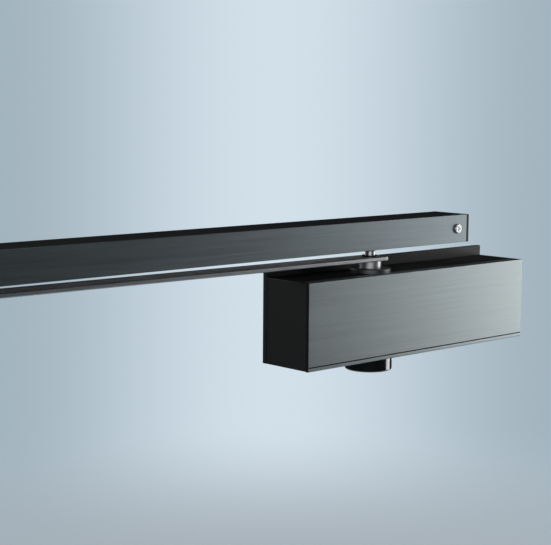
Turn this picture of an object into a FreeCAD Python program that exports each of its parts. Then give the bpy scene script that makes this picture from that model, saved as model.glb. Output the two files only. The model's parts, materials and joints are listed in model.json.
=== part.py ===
import FreeCAD, Part
import math
import os
import Sketcher
from FreeCAD import Placement, Rotation, Vector

# Slide-rail door closer: a spring-and-oil closer body on a mounting plate, a flat arm on its
# spindle and a guide rail that the arm's slider runs in.
# Frame, in mm: +X along the door towards its hinges, +Y into the door, +Z up. The origin is the
# centre of the four door holes, on the mounting plate's back face. The door is closed.

doc = FreeCAD.newDocument("DoorCloser")
sheet = doc.addObject("Spreadsheet::Sheet", "Sizes")
parts = []


class Size:
    """A number of the design together with the formula that ties it to the sheet."""

    def __init__(self, formula, number):
        self.formula = formula
        self.number = number

    def __add__(self, other):
        other = as_size(other)
        return Size(f"({self.formula} + {other.formula})", self.number + other.number)

    def __sub__(self, other):
        other = as_size(other)
        return Size(f"({self.formula} - {other.formula})", self.number - other.number)

    def __mul__(self, other):
        other = as_size(other)
        return Size(f"({self.formula} * {other.formula})", self.number * other.number)

    def __truediv__(self, other):
        other = as_size(other)
        return Size(f"({self.formula} / {other.formula})", self.number / other.number)

    def __neg__(self):
        return Size(f"(0 - {self.formula})", -self.number)


def as_size(value):
    if isinstance(value, Size):
        return value
    return Size(f"{float(value):.6f}", float(value))


def size(alias, number, meaning):
    """Writes one driving dimension into the sheet and returns it."""
    row = len(sheet.getUsedCells()) // 2 + 1
    sheet.set(f"A{row}", meaning)
    sheet.set(f"B{row}", str(number))
    sheet.setAlias(f"B{row}", alias)
    return Size(f"Sizes.{alias}", number)


# Closer body
body_length = size("body_length", 229, "closer body, end to end")
body_height = size("body_height", 60, "closer body, bottom to top")
body_depth = size("body_depth", 41.5, "closer body, front to mounting plate")
plate_thick = size("plate_thick", 4, "mounting plate thickness")
plate_rise = size("plate_rise", 7.5, "plate edge above the body's top")
cover_wall = size("cover_wall", 2.5, "front cover wall")
hook_gap = size("hook_gap", 0.25, "cover's hooks to the bearing bore")
hook_thick = size("hook_thick", 1.5, "cover's hooks, thickness")
lip_height = size("lip_height", 2.5, "lip below the shadow groove")
groove_height = size("groove_height", 0.8, "shadow groove, height")
groove_depth = size("groove_depth", 1.2, "shadow groove, depth")
cap_wall = size("cap_wall", 3, "end cap wall")
peg_radius = size("peg_radius", 1.5, "end cap locating peg")
peg_length = size("peg_length", 4, "end cap locating peg, length")
peg_inset = size("peg_inset", 5, "peg centre from the housing's long edges")

# Fixing holes
door_inset_x = size("door_inset_x", 24.5, "door holes from the plate's ends")
door_spacing_z = size("door_spacing_z", 36, "door holes, up the plate")
door_hole_radius = size("door_hole_radius", 2.75, "door holes")
door_sink_radius = size("door_sink_radius", 5, "countersink of the door holes")
screw_inset_x = size("screw_inset_x", 10, "housing screws from the body's ends")
screw_inset_z = size("screw_inset_z", 7.5, "housing screws from top and bottom")
screw_radius = size("screw_radius", 2.5, "housing screw thread")
screw_head_radius = size("screw_head_radius", 4.25, "housing screw head")
screw_head_height = size("screw_head_height", 5, "housing screw head, height")
screw_play = size("screw_play", 0.4, "radial play round a screw")
head_sink = size("head_sink", 1, "housing screw heads below the housing's front")
screw_end_gap = size("screw_end_gap", 0.5, "housing screws' ends from the plate's back face")

# Oil bore, piston and spring
bore_radius = size("bore_radius", 15, "oil bore")
thread_step = size("thread_step", 1, "end plug thread beyond the bore, radial")
plug_length = size("plug_length", 12, "end plug thread, length")
plug_nose = size("plug_nose", 6, "end plug nose with its seal ring, length")
plug_key_radius = size("plug_key_radius", 5, "hexagon key in the end plug, across its corners / 2")
piston_play = size("piston_play", 0.03, "radial play of the piston")
piston_head = size("piston_head", 14, "solid piston head at each end of the window")
ring_width = size("ring_width", 2.4, "seal ring groove width")
ring_depth = size("ring_depth", 2, "seal ring groove depth")
window_clear = size("window_clear", 1.5, "piston window beyond the pinion at both ends of the travel")
pinion_clear = size("pinion_clear", 1, "piston window beyond the pinion on its plain side")
oil_hole_radius = size("oil_hole_radius", 1.5, "oil passages")
ball_radius = size("ball_radius", 2.5, "check valve ball")
ball_play = size("ball_play", 0.1, "radial play of the ball")
ball_lift = size("ball_lift", 0.05, "ball off its seat")
ball_ring = size("ball_ring", 1.2, "ring that keeps the ball in, length")
spring_play = size("spring_play", 1.9, "closing spring to the bore, radial")
spring_wire = size("spring_wire", 1.6, "closing spring wire radius")
spring_turns = size("spring_turns", 14, "closing spring turns")
spring_gap = size("spring_gap", 0.05, "gap at both ends of the closing spring")
seat_length = size("seat_length", 3, "spring seat washer")
seat_play = size("seat_play", 0.3, "radial play of the spring seat in the bore")
pilot_play = size("pilot_play", 0.4, "radial play of the pilot inside the spring")
pilot_wall = size("pilot_wall", 3, "spring seat pilot, wall")

# Spindle, bearings and their covers
spindle_offset = size("spindle_offset", 80, "spindle from the body's left end")
shaft_radius = size("shaft_radius", 7.9, "spindle")
shaft_play = size("shaft_play", 0.05, "radial play of the spindle in its bushes")
bearing_radius = size("bearing_radius", 12, "bearing bore in the housing")
bearing_gap = size("bearing_gap", 0.5, "bush beyond the oil bore")
seal_length = size("seal_length", 3, "shaft seal")
retainer_neck = size("retainer_neck", 3.5, "thread of the bearing retainer in the body")
flange_radius = size("flange_radius", 14.75, "flange of the bearing retainer")
flange_height = size("flange_height", 3, "flange of the bearing retainer, height")
flange_play = size("flange_play", 0.4, "radial play between retainer and spindle")
flange_chamfer = size("flange_chamfer", 0.6, "chamfer of the flange's rim")
lower_cap_wall = size("lower_cap_wall", 2, "lower cap, wall round the flange")
lower_cap_height = size("lower_cap_height", 10, "lower cap, height")
lower_cap_floor = size("lower_cap_floor", 1.8, "lower cap, floor")
lower_cap_chamfer = size("lower_cap_chamfer", 0.8, "lower cap, chamfer of its rim")
gear_teeth = size("gear_teeth", 16, "pinion teeth")
gear_module = size("gear_module", 1, "pinion and rack module")
gear_gap = size("gear_gap", 1.5, "pinion to each bush")
gear_backlash = size("gear_backlash", 0.2, "play between the flanks on the pitch line")
swing_degrees = size("swing_degrees", 155, "spindle turn from closed to the last open position")
square_side = size("square_side", 9.5, "square drive of the spindle")
square_play = size("square_play", 0.05, "play of the arm on the square drive")

# Arm and slider
boss_height = size("boss_height", 5, "bare spindle between flange and arm")
arm_thick = size("arm_thick", 3, "arm thickness")
arm_width = size("arm_width", 20, "arm width")
arm_reach = size("arm_reach", 305, "spindle axis to slider pin")
arm_tail = size("arm_tail", 9, "arm beyond the spindle axis")
washer_radius = size("washer_radius", 6, "arm screw washer")
washer_thick = size("washer_thick", 0.8, "arm screw washer, thickness")
arm_screw_radius = size("arm_screw_radius", 2.5, "arm screw thread")
arm_screw_head = size("arm_screw_head", 3.75, "arm screw head radius")
arm_screw_height = size("arm_screw_height", 3.1, "arm screw head, height")
arm_screw_length = size("arm_screw_length", 12, "arm screw below its head")
arm_key_radius = size("arm_key_radius", 1.75, "hexagon key in the arm screw, across its corners / 2")
arm_key_depth = size("arm_key_depth", 2.17, "hexagon key in the arm screw, depth")
washer_play = size("washer_play", 0.2, "radial play of the washer on the arm screw")
pin_radius = size("pin_radius", 4, "slider pin")
pin_collar_radius = size("pin_collar_radius", 6, "slider pin collar")
pin_play = size("pin_play", 0.05, "radial play of the slider pin")
bush_wall = size("bush_wall", 1.5, "slider bush wall")
clip_thick = size("clip_thick", 1, "slider pin clip")
clip_radius = size("clip_radius", 6, "slider pin clip, outside")
clip_groove = size("clip_groove", 0.8, "groove depth of the slider pin clip")
clip_play = size("clip_play", 0.3, "slider pin clip above the slider block")
pin_tail = size("pin_tail", 1, "slider pin beyond its clip")
pin_room = size("pin_room", 2.1, "slider pin's end to the channel's ceiling")

# Guide rail
rail_length = size("rail_length", 450, "guide rail with its end caps")
rail_lead = size("rail_lead", 46.43, "guide rail's left end to the slider pin, door closed")
rail_height = size("rail_height", 20.6, "guide rail height")
rail_depth = size("rail_depth", 33.3, "guide rail depth with its trim")
rail_gap = size("rail_gap", 5, "guide rail above the arm")
rail_wall = size("rail_wall", 2.4, "guide rail wall")
rail_slot = size("rail_slot", 13, "guide rail slot width")
trim_thick = size("trim_thick", 1.5, "guide rail front trim")
rail_cap_wall = size("rail_cap_wall", 3, "guide rail end cap")
rail_cap_plug = size("rail_cap_plug", 4, "guide rail end cap, reach into the channel")
slider_length = size("slider_length", 32, "slider block length")
slider_play = size("slider_play", 0.4, "slider block to each channel wall")
rail_screw_inset = size("rail_screw_inset", 13.5, "rail screws from the rail's ends")
rail_screw_radius = size("rail_screw_radius", 2.2, "rail screw thread")
rail_thread_height = size("rail_thread_height", 0.4, "rail screw thread above its shank")
rail_screw_reach = size("rail_screw_reach", 20, "rail screw behind the rail")
rail_head_radius = size("rail_head_radius", 3.6, "rail screw head")
rail_head_height = size("rail_head_height", 1.5, "rail screw head, height")
rail_head_chamfer = size("rail_head_chamfer", 0.5, "chamfer of the rail screw head's rim")
cross_width = size("cross_width", 0.8, "cross slot of the rail screws, width")
cross_reach = size("cross_reach", 1.9, "cross slot of the rail screws, from the head's centre")
cross_depth = size("cross_depth", 0.8, "cross slot of the rail screws, depth")
stop_length = size("stop_length", 4, "rail stop buffer")

# Speed valves
valve_radius = size("valve_radius", 3.4, "speed valve")
valve_play = size("valve_play", 0.05, "radial play of a speed valve")
valve_length = size("valve_length", 9, "speed valve length")
valve_sink = size("valve_sink", 0.8, "speed valve head below the housing's front")
valve_point = size("valve_point", 2, "speed valve's pointed end, length")
valve_point_radius = size("valve_point_radius", 1, "speed valve's pointed end, radius")
valve_slot_width = size("valve_slot_width", 1, "speed valve's slot, width")
valve_slot_depth = size("valve_slot_depth", 1.5, "speed valve's slot, depth")
valve_room = size("valve_room", 1, "bore beyond a speed valve")
valve_inset_z = size("valve_inset_z", 9, "speed valves from the body's top")
sweep_valve_inset = size("sweep_valve_inset", 64.5, "sweep speed valve from the body's right end")
latch_valve_inset = size("latch_valve_inset", 44.5, "latch speed valve from the body's right end")

# Places worked out from the sizes above
body_front = -plate_thick - body_depth
housing_front = body_front + cover_wall
housing_left = -body_length / 2 + cap_wall
housing_length = body_length - cap_wall * 2
body_top = body_height / 2
spindle_x = spindle_offset - body_length / 2
spindle_y = -plate_thick - body_depth / 2
hook_depth = spindle_y - bearing_radius - hook_gap - housing_front
door_hole_x = body_length / 2 - door_inset_x
sweep_valve_x = body_length / 2 - sweep_valve_inset
latch_valve_x = body_length / 2 - latch_valve_inset
valve_height = body_top - valve_inset_z
plug_radius = bore_radius + thread_step
spring_radius = bore_radius - spring_wire - spring_play
bearing_start = bore_radius + bearing_gap
bush_length = body_top - retainer_neck - seal_length - bearing_start
gear_half = bearing_start - gear_gap
lower_cap_radius = flange_radius + lower_cap_wall
pitch_radius = gear_teeth * gear_module / 2
tooth_pitch = gear_module * math.pi
gear_outer = pitch_radius + gear_module
gear_root = pitch_radius - gear_module * 1.25
rack_tip = pitch_radius - gear_module * 0.8
rack_root = pitch_radius + gear_module * 1.25
travel = pitch_radius * swing_degrees * (math.pi / 180)
window_end = gear_outer + window_clear
window_length = window_end * 2 + travel
piston_radius = bore_radius - piston_play
piston_length = window_length + piston_head * 2
piston_left = spindle_x - window_end - travel - piston_head
piston_right = piston_left + piston_length
plug_right_x = housing_left + housing_length - plug_length - plug_nose
retainer_inner = shaft_radius + flange_play
arm_bottom = body_top + flange_height + boss_height
arm_top = arm_bottom + arm_thick
rail_bottom = arm_top + rail_gap
channel_depth = rail_depth - trim_thick
slider_y = -channel_depth / 2
arm_offset_y = slider_y - spindle_y
arm_slant = f"asin({arm_offset_y.formula} / {arm_reach.formula})"
arm_degrees = 180 - math.degrees(math.asin(arm_offset_y.number / arm_reach.number))
arm_angle = Size(f"(180 deg - {arm_slant})", arm_degrees)
square_angle = Size(f"(225 deg - {arm_slant})", arm_degrees + 45)
arm_run_x = Size(
    f"sqrt({arm_reach.formula} ^ 2 - {arm_offset_y.formula} ^ 2)",
    math.sqrt(arm_reach.number**2 - arm_offset_y.number**2),
)
slider_x = spindle_x - arm_run_x
rail_left = slider_x - rail_lead
rail_end_x = rail_left + rail_length
rail_hole_radius = rail_screw_radius + screw_play
slider_bottom = rail_bottom + rail_wall + slider_play
pin_above = clip_play + clip_thick + pin_tail
slider_height = rail_height - rail_wall * 2 - slider_play - pin_above - pin_room
slider_width = channel_depth - (rail_wall + slider_play) * 2


def bind(item, prop, value):
    """Ties a property to the sheet."""
    item.setExpression(prop, as_size(value).formula)


def place(item, x=0, y=0, z=0):
    """Ties the item's place to the sheet."""
    for axis, value in (("x", x), ("y", y), ("z", z)):
        bind(item, f"Placement.Base.{axis}", value)
    return item


def finish(item, label):
    """Counts the item as a finished sub-part under this label."""
    item.Label = label
    parts.append(item)
    return item


ALONG = {
    "X": Rotation(Vector(0, 1, 0), 90),
    "Y": Rotation(Vector(1, 0, 0), -90),
    "Z": Rotation(),
}


def block(low, sides):
    """A box from its low corner and its three sides."""
    item = doc.addObject("Part::Box", "Block")
    for prop, value in zip(("Length", "Width", "Height"), sides):
        bind(item, prop, value)
    return place(item, *low)


def rod(radius, length, start=(0, 0, 0), along="Z"):
    """A cylinder from its start point along an axis."""
    item = doc.addObject("Part::Cylinder", "Rod")
    item.Placement = Placement(Vector(), ALONG[along])
    bind(item, "Radius", radius)
    bind(item, "Height", length)
    return place(item, *start)


def taper(start_radius, end_radius, length, start=(0, 0, 0), along="Z"):
    """A cone from its start point along an axis."""
    item = doc.addObject("Part::Cone", "Taper")
    item.Placement = Placement(Vector(), ALONG[along])
    bind(item, "Radius1", start_radius)
    bind(item, "Radius2", end_radius)
    bind(item, "Height", length)
    return place(item, *start)


def hexagon(corner_radius, length, start=(0, 0, 0), along="Z"):
    """A six-sided prism from its start point along an axis."""
    item = doc.addObject("Part::Prism", "Hexagon")
    item.Polygon = 6
    item.Placement = Placement(Vector(), ALONG[along])
    bind(item, "Circumradius", corner_radius)
    bind(item, "Height", length)
    return place(item, *start)


def join(*items):
    whole = doc.addObject("Part::MultiFuse", "Join")
    whole.Shapes = list(items)
    return whole


def cut(base, *tools):
    """The base less the tools."""
    tool = tools[0] if len(tools) == 1 else join(*tools)
    rest = doc.addObject("Part::Cut", "Cut")
    rest.Base = base
    rest.Tool = tool
    return rest


def group(*items):
    """Like pieces that stay separate solids in one sub-part."""
    compound = doc.addObject("Part::Compound", "Group")
    compound.Links = list(items)
    return compound


def tube(outer, inner, length, start=(0, 0, 0), along="Z"):
    """A plain ring or tube from its start point along an axis."""
    return cut(rod(outer, length, start, along), rod(inner, length, start, along))


def new_body(name):
    return doc.addObject("PartDesign::Body", name)


def origin_plane(body, role):
    return next(item for item in body.Origin.OriginFeatures if item.Role == role)


def new_sketch(body, role, height=0):
    """A sketch on one of the body's origin planes, lifted off it by a height."""
    sketch = body.newObject("Sketcher::SketchObject", "Sketch")
    sketch.AttachmentSupport = (origin_plane(body, role), "")
    sketch.MapMode = "FlatFace"
    bind(sketch, "AttachmentOffset.Base.z", height)
    return sketch


def pin_point(sketch, geometry, end, x, y):
    """Holds one point of a sketch at two sizes from its origin."""
    hold(sketch, "DistanceX", geometry, end, as_size(x))
    hold(sketch, "DistanceY", geometry, end, as_size(y))


def hold(sketch, kind, geometry, end, value):
    """Holds one point of a sketch in one direction."""
    row = sketch.addConstraint(Sketcher.Constraint(kind, -1, 1, geometry, end, value.number))
    bind(sketch, f"Constraints[{row}]", value)


def add_outline(sketch, corners):
    """A closed outline of straight lines, each corner held in both directions."""
    first = sketch.GeometryCount
    spots = [Vector(as_size(x).number, as_size(y).number, 0) for x, y in corners]
    for start, end in zip(spots, spots[1:] + spots[:1]):
        sketch.addGeometry(Part.LineSegment(start, end), False)
    for index, (x, y) in enumerate(corners):
        following = first + (index + 1) % len(corners)
        sketch.addConstraint(Sketcher.Constraint("Coincident", first + index, 2, following, 1))
        pin_point(sketch, first + index, 1, x, y)


def add_circle(sketch, x, y, radius):
    """A circle with its centre and radius held."""
    centre = Vector(as_size(x).number, as_size(y).number, 0)
    index = sketch.addGeometry(Part.Circle(centre, Vector(0, 0, 1), as_size(radius).number), False)
    pin_point(sketch, index, 3, x, y)
    row = sketch.addConstraint(Sketcher.Constraint("Radius", index, as_size(radius).number))
    bind(sketch, f"Constraints[{row}]", radius)


def rectangle(low_x, low_y, high_x, high_y):
    return [(low_x, low_y), (high_x, low_y), (high_x, high_y), (low_x, high_y)]


def pad(body, sketch, length, both_ways=False):
    feature = body.newObject("PartDesign::Pad", "Pad")
    feature.Profile = sketch
    feature.SideType = "Symmetric" if both_ways else "One side"
    bind(feature, "Length", length)
    return feature


def pocket(body, sketch, length=None, both_ways=False, reverse=False):
    """A pocket of a length, or right through if it has none."""
    feature = body.newObject("PartDesign::Pocket", "Pocket")
    feature.Profile = sketch
    feature.SideType = "Symmetric" if both_ways else "One side"
    feature.Reversed = reverse
    if length is None:
        feature.Type = "ThroughAll"
    else:
        bind(feature, "Length", length)
    return feature


def door_hole_places():
    for side_x in (-1, 1):
        for side_z in (-1, 1):
            yield door_hole_x * side_x, door_spacing_z / 2 * side_z


def housing_screw_places():
    for side_x in (-1, 1):
        for side_z in (-1, 1):
            x = (body_length / 2 - screw_inset_x) * side_x
            yield x, (body_top - screw_inset_z) * side_z


def peg_places():
    for y in (housing_front + peg_inset * 2, -plate_thick - peg_inset):
        for side_z in (-1, 1):
            yield y, (body_top - peg_inset) * side_z


def mounting_plate():
    """Steel plate, countersunk for the door screws and tapped for the housing screws."""
    body = new_body("MountingPlate")
    sketch = new_sketch(body, "XZ_Plane")
    half = body_length / 2
    add_outline(sketch, rectangle(-half, -body_top, half, body_top + plate_rise))
    for x, z in door_hole_places():
        add_circle(sketch, x, z, door_hole_radius)
    for x, z in housing_screw_places():
        add_circle(sketch, x, z, screw_radius)
    pad(body, sketch, plate_thick)
    sink_depth = door_sink_radius - door_hole_radius
    sinks = [
        taper(door_sink_radius, door_hole_radius, sink_depth, (x, -plate_thick, z), "Y")
        for x, z in door_hole_places()
    ]
    finish(cut(body, *sinks), "mounting_plate")


def housing():
    """Aluminium block with the oil bore, the bearing bore, valve bores and screw holes."""
    high = body_top
    back = -plate_thick
    solid = block(
        (housing_left, housing_front, -high),
        (housing_length, back - housing_front, body_height),
    )
    right = housing_left + housing_length
    tools = [
        rod(bore_radius, housing_length, (housing_left, spindle_y, 0), "X"),
        rod(plug_radius, plug_length, (housing_left, spindle_y, 0), "X"),
        rod(plug_radius, plug_length, (right - plug_length, spindle_y, 0), "X"),
        rod(bearing_radius, body_height, (spindle_x, spindle_y, -high)),
    ]
    for low_z in (high - hook_thick, -high):
        sides = (housing_length, hook_depth, hook_thick)
        tools.append(block((housing_left, housing_front, low_z), sides))
    head_room = screw_head_height + head_sink
    for x, z in housing_screw_places():
        hole = screw_radius + screw_play
        tools.append(rod(hole, back - housing_front, (x, housing_front, z), "Y"))
        tools.append(rod(screw_head_radius + screw_play, head_room, (x, housing_front, z), "Y"))
    for x in (sweep_valve_x, latch_valve_x):
        depth = valve_length + valve_sink + valve_room
        tools.append(rod(valve_radius + valve_play, depth, (x, housing_front, valve_height), "Y"))
        passage_y = housing_front + depth - oil_hole_radius * 2
        tools.append(rod(oil_hole_radius, valve_height, (x, passage_y, 0)))
    for y, z in peg_places():
        tools.append(rod(peg_radius, peg_length, (housing_left, y, z), "X"))
        tools.append(rod(peg_radius, peg_length, (right - peg_length, y, z), "X"))
    finish(cut(solid, *tools), "housing")


def front_cover():
    """Brushed extrusion: a front wall with a shadow groove above its lower lip, and two hooks."""
    body = new_body("FrontCover")
    wall = new_sketch(body, "YZ_Plane")
    front, back, high = body_front, body_front + cover_wall, body_top
    groove_low = -high + lip_height
    groove_back = front + groove_depth
    add_outline(
        wall,
        [
            (front, -high),
            (back, -high),
            (back, high),
            (front, high),
            (front, groove_low + groove_height),
            (groove_back, groove_low + groove_height),
            (groove_back, groove_low),
            (front, groove_low),
        ],
    )
    pad(body, wall, body_length, both_ways=True)
    hooks = new_sketch(body, "YZ_Plane")
    add_outline(hooks, rectangle(back, high - hook_thick, back + hook_depth, high))
    add_outline(hooks, rectangle(back, -high, back + hook_depth, -high + hook_thick))
    pad(body, hooks, housing_length, both_ways=True)
    finish(body, "front_cover")


def end_cap(label, low_x, peg_x):
    """Moulded cap on the housing's end face, located by four pegs."""
    plate = block(
        (low_x, housing_front, -body_top),
        (cap_wall, -plate_thick - housing_front, body_height),
    )
    pegs = [rod(peg_radius, peg_length, (peg_x, y, z), "X") for y, z in peg_places()]
    finish(join(plate, *pegs), label)


def bore_plug(label, outer_x, direction):
    """Threaded plug that closes the oil bore, with a key socket and a nose for its seal ring."""
    length = plug_length + plug_nose
    nose_radius = bore_radius - piston_play
    if direction > 0:
        thread_x, whole_x, socket_x = outer_x, outer_x, outer_x
        groove_x = outer_x + length - ring_width * 2
    else:
        thread_x, whole_x = outer_x - plug_length, outer_x - length
        socket_x = outer_x - plug_length / 2
        groove_x = whole_x + ring_width
    thread = rod(plug_radius, plug_length, (thread_x, spindle_y, 0), "X")
    nose = rod(nose_radius, length, (whole_x, spindle_y, 0), "X")
    socket = hexagon(plug_key_radius, plug_length / 2, (socket_x, spindle_y, 0), "X")
    groove_floor = nose_radius - ring_depth
    groove = tube(nose_radius + 1, groove_floor, ring_width, (groove_x, spindle_y, 0), "X")
    finish(cut(join(thread, nose), socket, groove), label)
    return tube(nose_radius, groove_floor, ring_width, (groove_x, spindle_y, 0), "X")


def plugs():
    right = housing_left + housing_length
    left_ring = bore_plug("bore_plug_left", housing_left, 1)
    right_ring = bore_plug("bore_plug_right", right, -1)
    finish(group(left_ring, right_ring), "plug_rings")


def spring_seat():
    """Washer between the closing spring and the right plug, with a pilot inside the coil."""
    start = plug_right_x - seat_length
    pilot_radius = spring_radius - spring_wire - pilot_play
    washer = rod(bore_radius - seat_play, seat_length, (start, spindle_y, 0), "X")
    pilot = rod(pilot_radius, seat_length * 2, (start - seat_length * 2, spindle_y, 0), "X")
    bore = pilot_radius - pilot_wall
    hole = rod(bore, seat_length * 3, (start - seat_length * 2, spindle_y, 0), "X")
    finish(cut(join(washer, pilot), hole), "spring_seat")


def closing_spring():
    """Round-wire compression spring between the piston and the spring seat."""
    run = plug_right_x - seat_length - piston_right - (spring_wire + spring_gap) * 2
    helix = doc.addObject("Part::Helix", "Helix")
    bind(helix, "Radius", spring_radius)
    bind(helix, "Height", run)
    bind(helix, "Pitch", run / spring_turns)
    wire = doc.addObject("Part::Circle", "Wire")
    wire.Placement = Placement(Vector(), Rotation(Vector(1, 0, 0), 90))
    bind(wire, "Radius", spring_wire)
    place(wire, spring_radius)
    sweep = doc.addObject("Part::Sweep", "Spring")
    sweep.Sections = [wire]
    sweep.Spine = (helix, ["Edge1"])
    sweep.Solid = True
    sweep.Frenet = True
    sweep.Placement = Placement(Vector(), ALONG["X"])
    place(sweep, piston_right + spring_wire + spring_gap, spindle_y, 0)
    finish(sweep, "closing_spring")


def piston():
    """Round piston with a window for the pinion. The rack is cut in the window's door side."""
    body = new_body("Piston")
    outside = new_sketch(body, "YZ_Plane")
    add_circle(outside, 0, 0, piston_radius)
    pad(body, outside, piston_length)
    window = new_sketch(body, "XY_Plane")
    window_right = piston_head + window_length
    clear_y = -gear_outer - pinion_clear
    add_outline(window, rectangle(piston_head, clear_y, window_right, rack_tip))
    pocket(body, window, bore_radius * 2, both_ways=True)
    gap = new_sketch(body, "XY_Plane")
    slope = math.tan(math.radians(20))
    pitch_half = tooth_pitch / 4 + gear_backlash / 4
    root_half = pitch_half - (rack_root - pitch_radius) * slope
    tip_half = pitch_half + (pitch_radius - rack_tip + 0.2) * slope
    mesh_x = piston_head + travel + window_end - tooth_pitch / 2
    teeth_left = math.floor((mesh_x.number - piston_head.number) / tooth_pitch.number - 0.5)
    first = mesh_x - tooth_pitch * teeth_left
    add_outline(
        gap,
        [
            (first - tip_half, rack_tip - 0.2),
            (first + tip_half, rack_tip - 0.2),
            (first + root_half, rack_root),
            (first - root_half, rack_root),
        ],
    )
    cutter = pocket(body, gap, bore_radius * 2, both_ways=True)
    row = body.newObject("PartDesign::LinearPattern", "Rack")
    row.Originals = [cutter]
    row.Direction = (gap, ["H_Axis"])
    count = math.floor((window_right.number - first.number) / tooth_pitch.number - 0.5) + 1
    bind(row, "Length", tooth_pitch * (count - 1))
    row.Occurrences = count
    body.Tip = row
    place(body, piston_left, spindle_y, 0)
    ring_starts = (piston_left + ring_width * 2, piston_right - ring_width * 3)
    floor_radius = piston_radius - ring_depth
    tools = [tube(bore_radius + 1, floor_radius, ring_width, (x, spindle_y, 0), "X") for x in ring_starts]
    tools.append(rod(oil_hole_radius, piston_head, (piston_left, spindle_y, 0), "X"))
    pocket_x = piston_left + piston_head / 2
    tools.append(rod(ball_radius + ball_play, piston_head / 2, (pocket_x, spindle_y, 0), "X"))
    finish(cut(body, *tools), "piston")
    rings = [tube(piston_radius, floor_radius, ring_width, (x, spindle_y, 0), "X") for x in ring_starts]
    finish(group(*rings), "piston_seals")


def check_valve():
    """Ball that lets the oil pass one way, and the pressed-in ring that keeps it on its seat."""
    pocket_x = piston_left + piston_head / 2
    ball = doc.addObject("Part::Sphere", "Ball")
    bind(ball, "Radius", ball_radius)
    place(ball, pocket_x + ball_radius + ball_lift, spindle_y, 0)
    finish(ball, "check_ball")
    ring_x = piston_left + piston_head - ball_ring
    ring = tube(ball_radius + ball_play, oil_hole_radius, ball_ring, (ring_x, spindle_y, 0), "X")
    finish(ring, "check_retainer")


def involute_turn(base_radius, radius):
    """How far an involute has turned from its base circle to a radius, in radians."""
    slope = math.acos(min(1.0, base_radius / radius))
    return math.tan(slope) - slope


def tooth_gap_corners():
    """The space between two teeth, centred on +Y: points on one involute flank, then mirrored."""
    pitch, outer, root = pitch_radius.number, gear_outer.number, gear_root.number
    base = pitch * math.cos(math.radians(20))
    half_at_pitch = (tooth_pitch.number / 4 + gear_backlash.number / 4) / pitch
    radii = [root] + [base + (outer + 0.3 - base) * step / 6 for step in range(7)]
    flank = []
    for radius in radii:
        turn = half_at_pitch + involute_turn(base, radius) - involute_turn(base, pitch)
        flank.append((radius * math.sin(turn), radius * math.cos(turn)))
    return flank + [(-x, y) for x, y in reversed(flank)]


def pinion_shaft():
    """Spindle with the pinion in its middle and a square drive at both ends."""
    body = new_body("PinionShaft")
    disc = new_sketch(body, "XY_Plane")
    add_circle(disc, 0, 0, gear_outer)
    pad(body, disc, gear_half * 2, both_ways=True)
    gap = new_sketch(body, "XY_Plane")
    corners = [Vector(x, y, 0) for x, y in tooth_gap_corners()]
    for start, end in zip(corners, corners[1:] + corners[:1]):
        gap.addGeometry(Part.LineSegment(start, end), False)
    cutter = pocket(body, gap, gear_half * 2 + 1, both_ways=True)
    teeth = body.newObject("PartDesign::PolarPattern", "Teeth")
    teeth.Originals = [cutter]
    teeth.Axis = (gap, ["N_Axis"])
    teeth.Angle = 360
    bind(teeth, "Occurrences", gear_teeth)
    body.Tip = teeth
    place(body, spindle_x, spindle_y, 0)
    spindle = (spindle_x, spindle_y)
    neck = gear_half
    upper = rod(shaft_radius, arm_bottom - neck, (*spindle, neck))
    lower_end = -body_top - flange_height
    lower = rod(shaft_radius, -neck - lower_end, (*spindle, lower_end))
    drive_low = lower_end - arm_thick
    drives = []
    for z, length in ((drive_low, arm_thick + 1), (arm_bottom - 1, arm_thick + 1)):
        drives.append(square_drive(square_side, z, length))
    thread = rod(arm_screw_radius, arm_screw_length + 1, (*spindle, arm_top - arm_screw_length))
    finish(cut(join(body, upper, lower, *drives), thread), "pinion_shaft")


def square_drive(side, z, length):
    """A square prism on the spindle's axis, turned with the arm."""
    prism = doc.addObject("Part::Prism", "Square")
    prism.Polygon = 4
    bind(prism, "Circumradius", side * math.sqrt(0.5))
    bind(prism, "Height", length)
    prism.Placement = Placement(Vector(), Rotation(Vector(0, 0, 1), 45))
    bind(prism, "Placement.Rotation.Angle", square_angle)
    return place(prism, spindle_x, spindle_y, z)


def bearings():
    """Bush, seal and threaded retainer ring at each end of the bearing bore."""
    for label, side in (("upper", 1), ("lower", -1)):
        bush_z = bearing_start if side > 0 else -bearing_start - bush_length
        seal_z = bearing_start + bush_length if side > 0 else retainer_neck - body_top
        spindle = (spindle_x, spindle_y)
        inner = shaft_radius + shaft_play
        finish(tube(bearing_radius, inner, bush_length, (*spindle, bush_z)), f"{label}_bush")
        finish(tube(bearing_radius, inner, seal_length, (*spindle, seal_z)), f"{label}_seal")
        retainer(f"{label}_retainer", side)


def retainer(label, side):
    """Ring screwed into the bearing bore, with a chamfered flange outside the body."""
    body = new_body("Retainer")
    section = new_sketch(body, "XZ_Plane")
    rim = flange_height - flange_chamfer
    add_outline(
        section,
        [
            (retainer_inner, -retainer_neck),
            (bearing_radius, -retainer_neck),
            (bearing_radius, 0),
            (flange_radius, 0),
            (flange_radius, rim),
            (flange_radius - flange_chamfer, flange_height),
            (retainer_inner, flange_height),
        ],
    )
    turned = body.newObject("PartDesign::Revolution", "Turned")
    turned.Profile = section
    turned.ReferenceAxis = (section, ["V_Axis"])
    turned.Angle = 360
    if side < 0:
        body.Placement = Placement(Vector(), Rotation(Vector(1, 0, 0), 180))
    place(body, spindle_x, spindle_y, body_top * side)
    finish(body, label)


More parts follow.
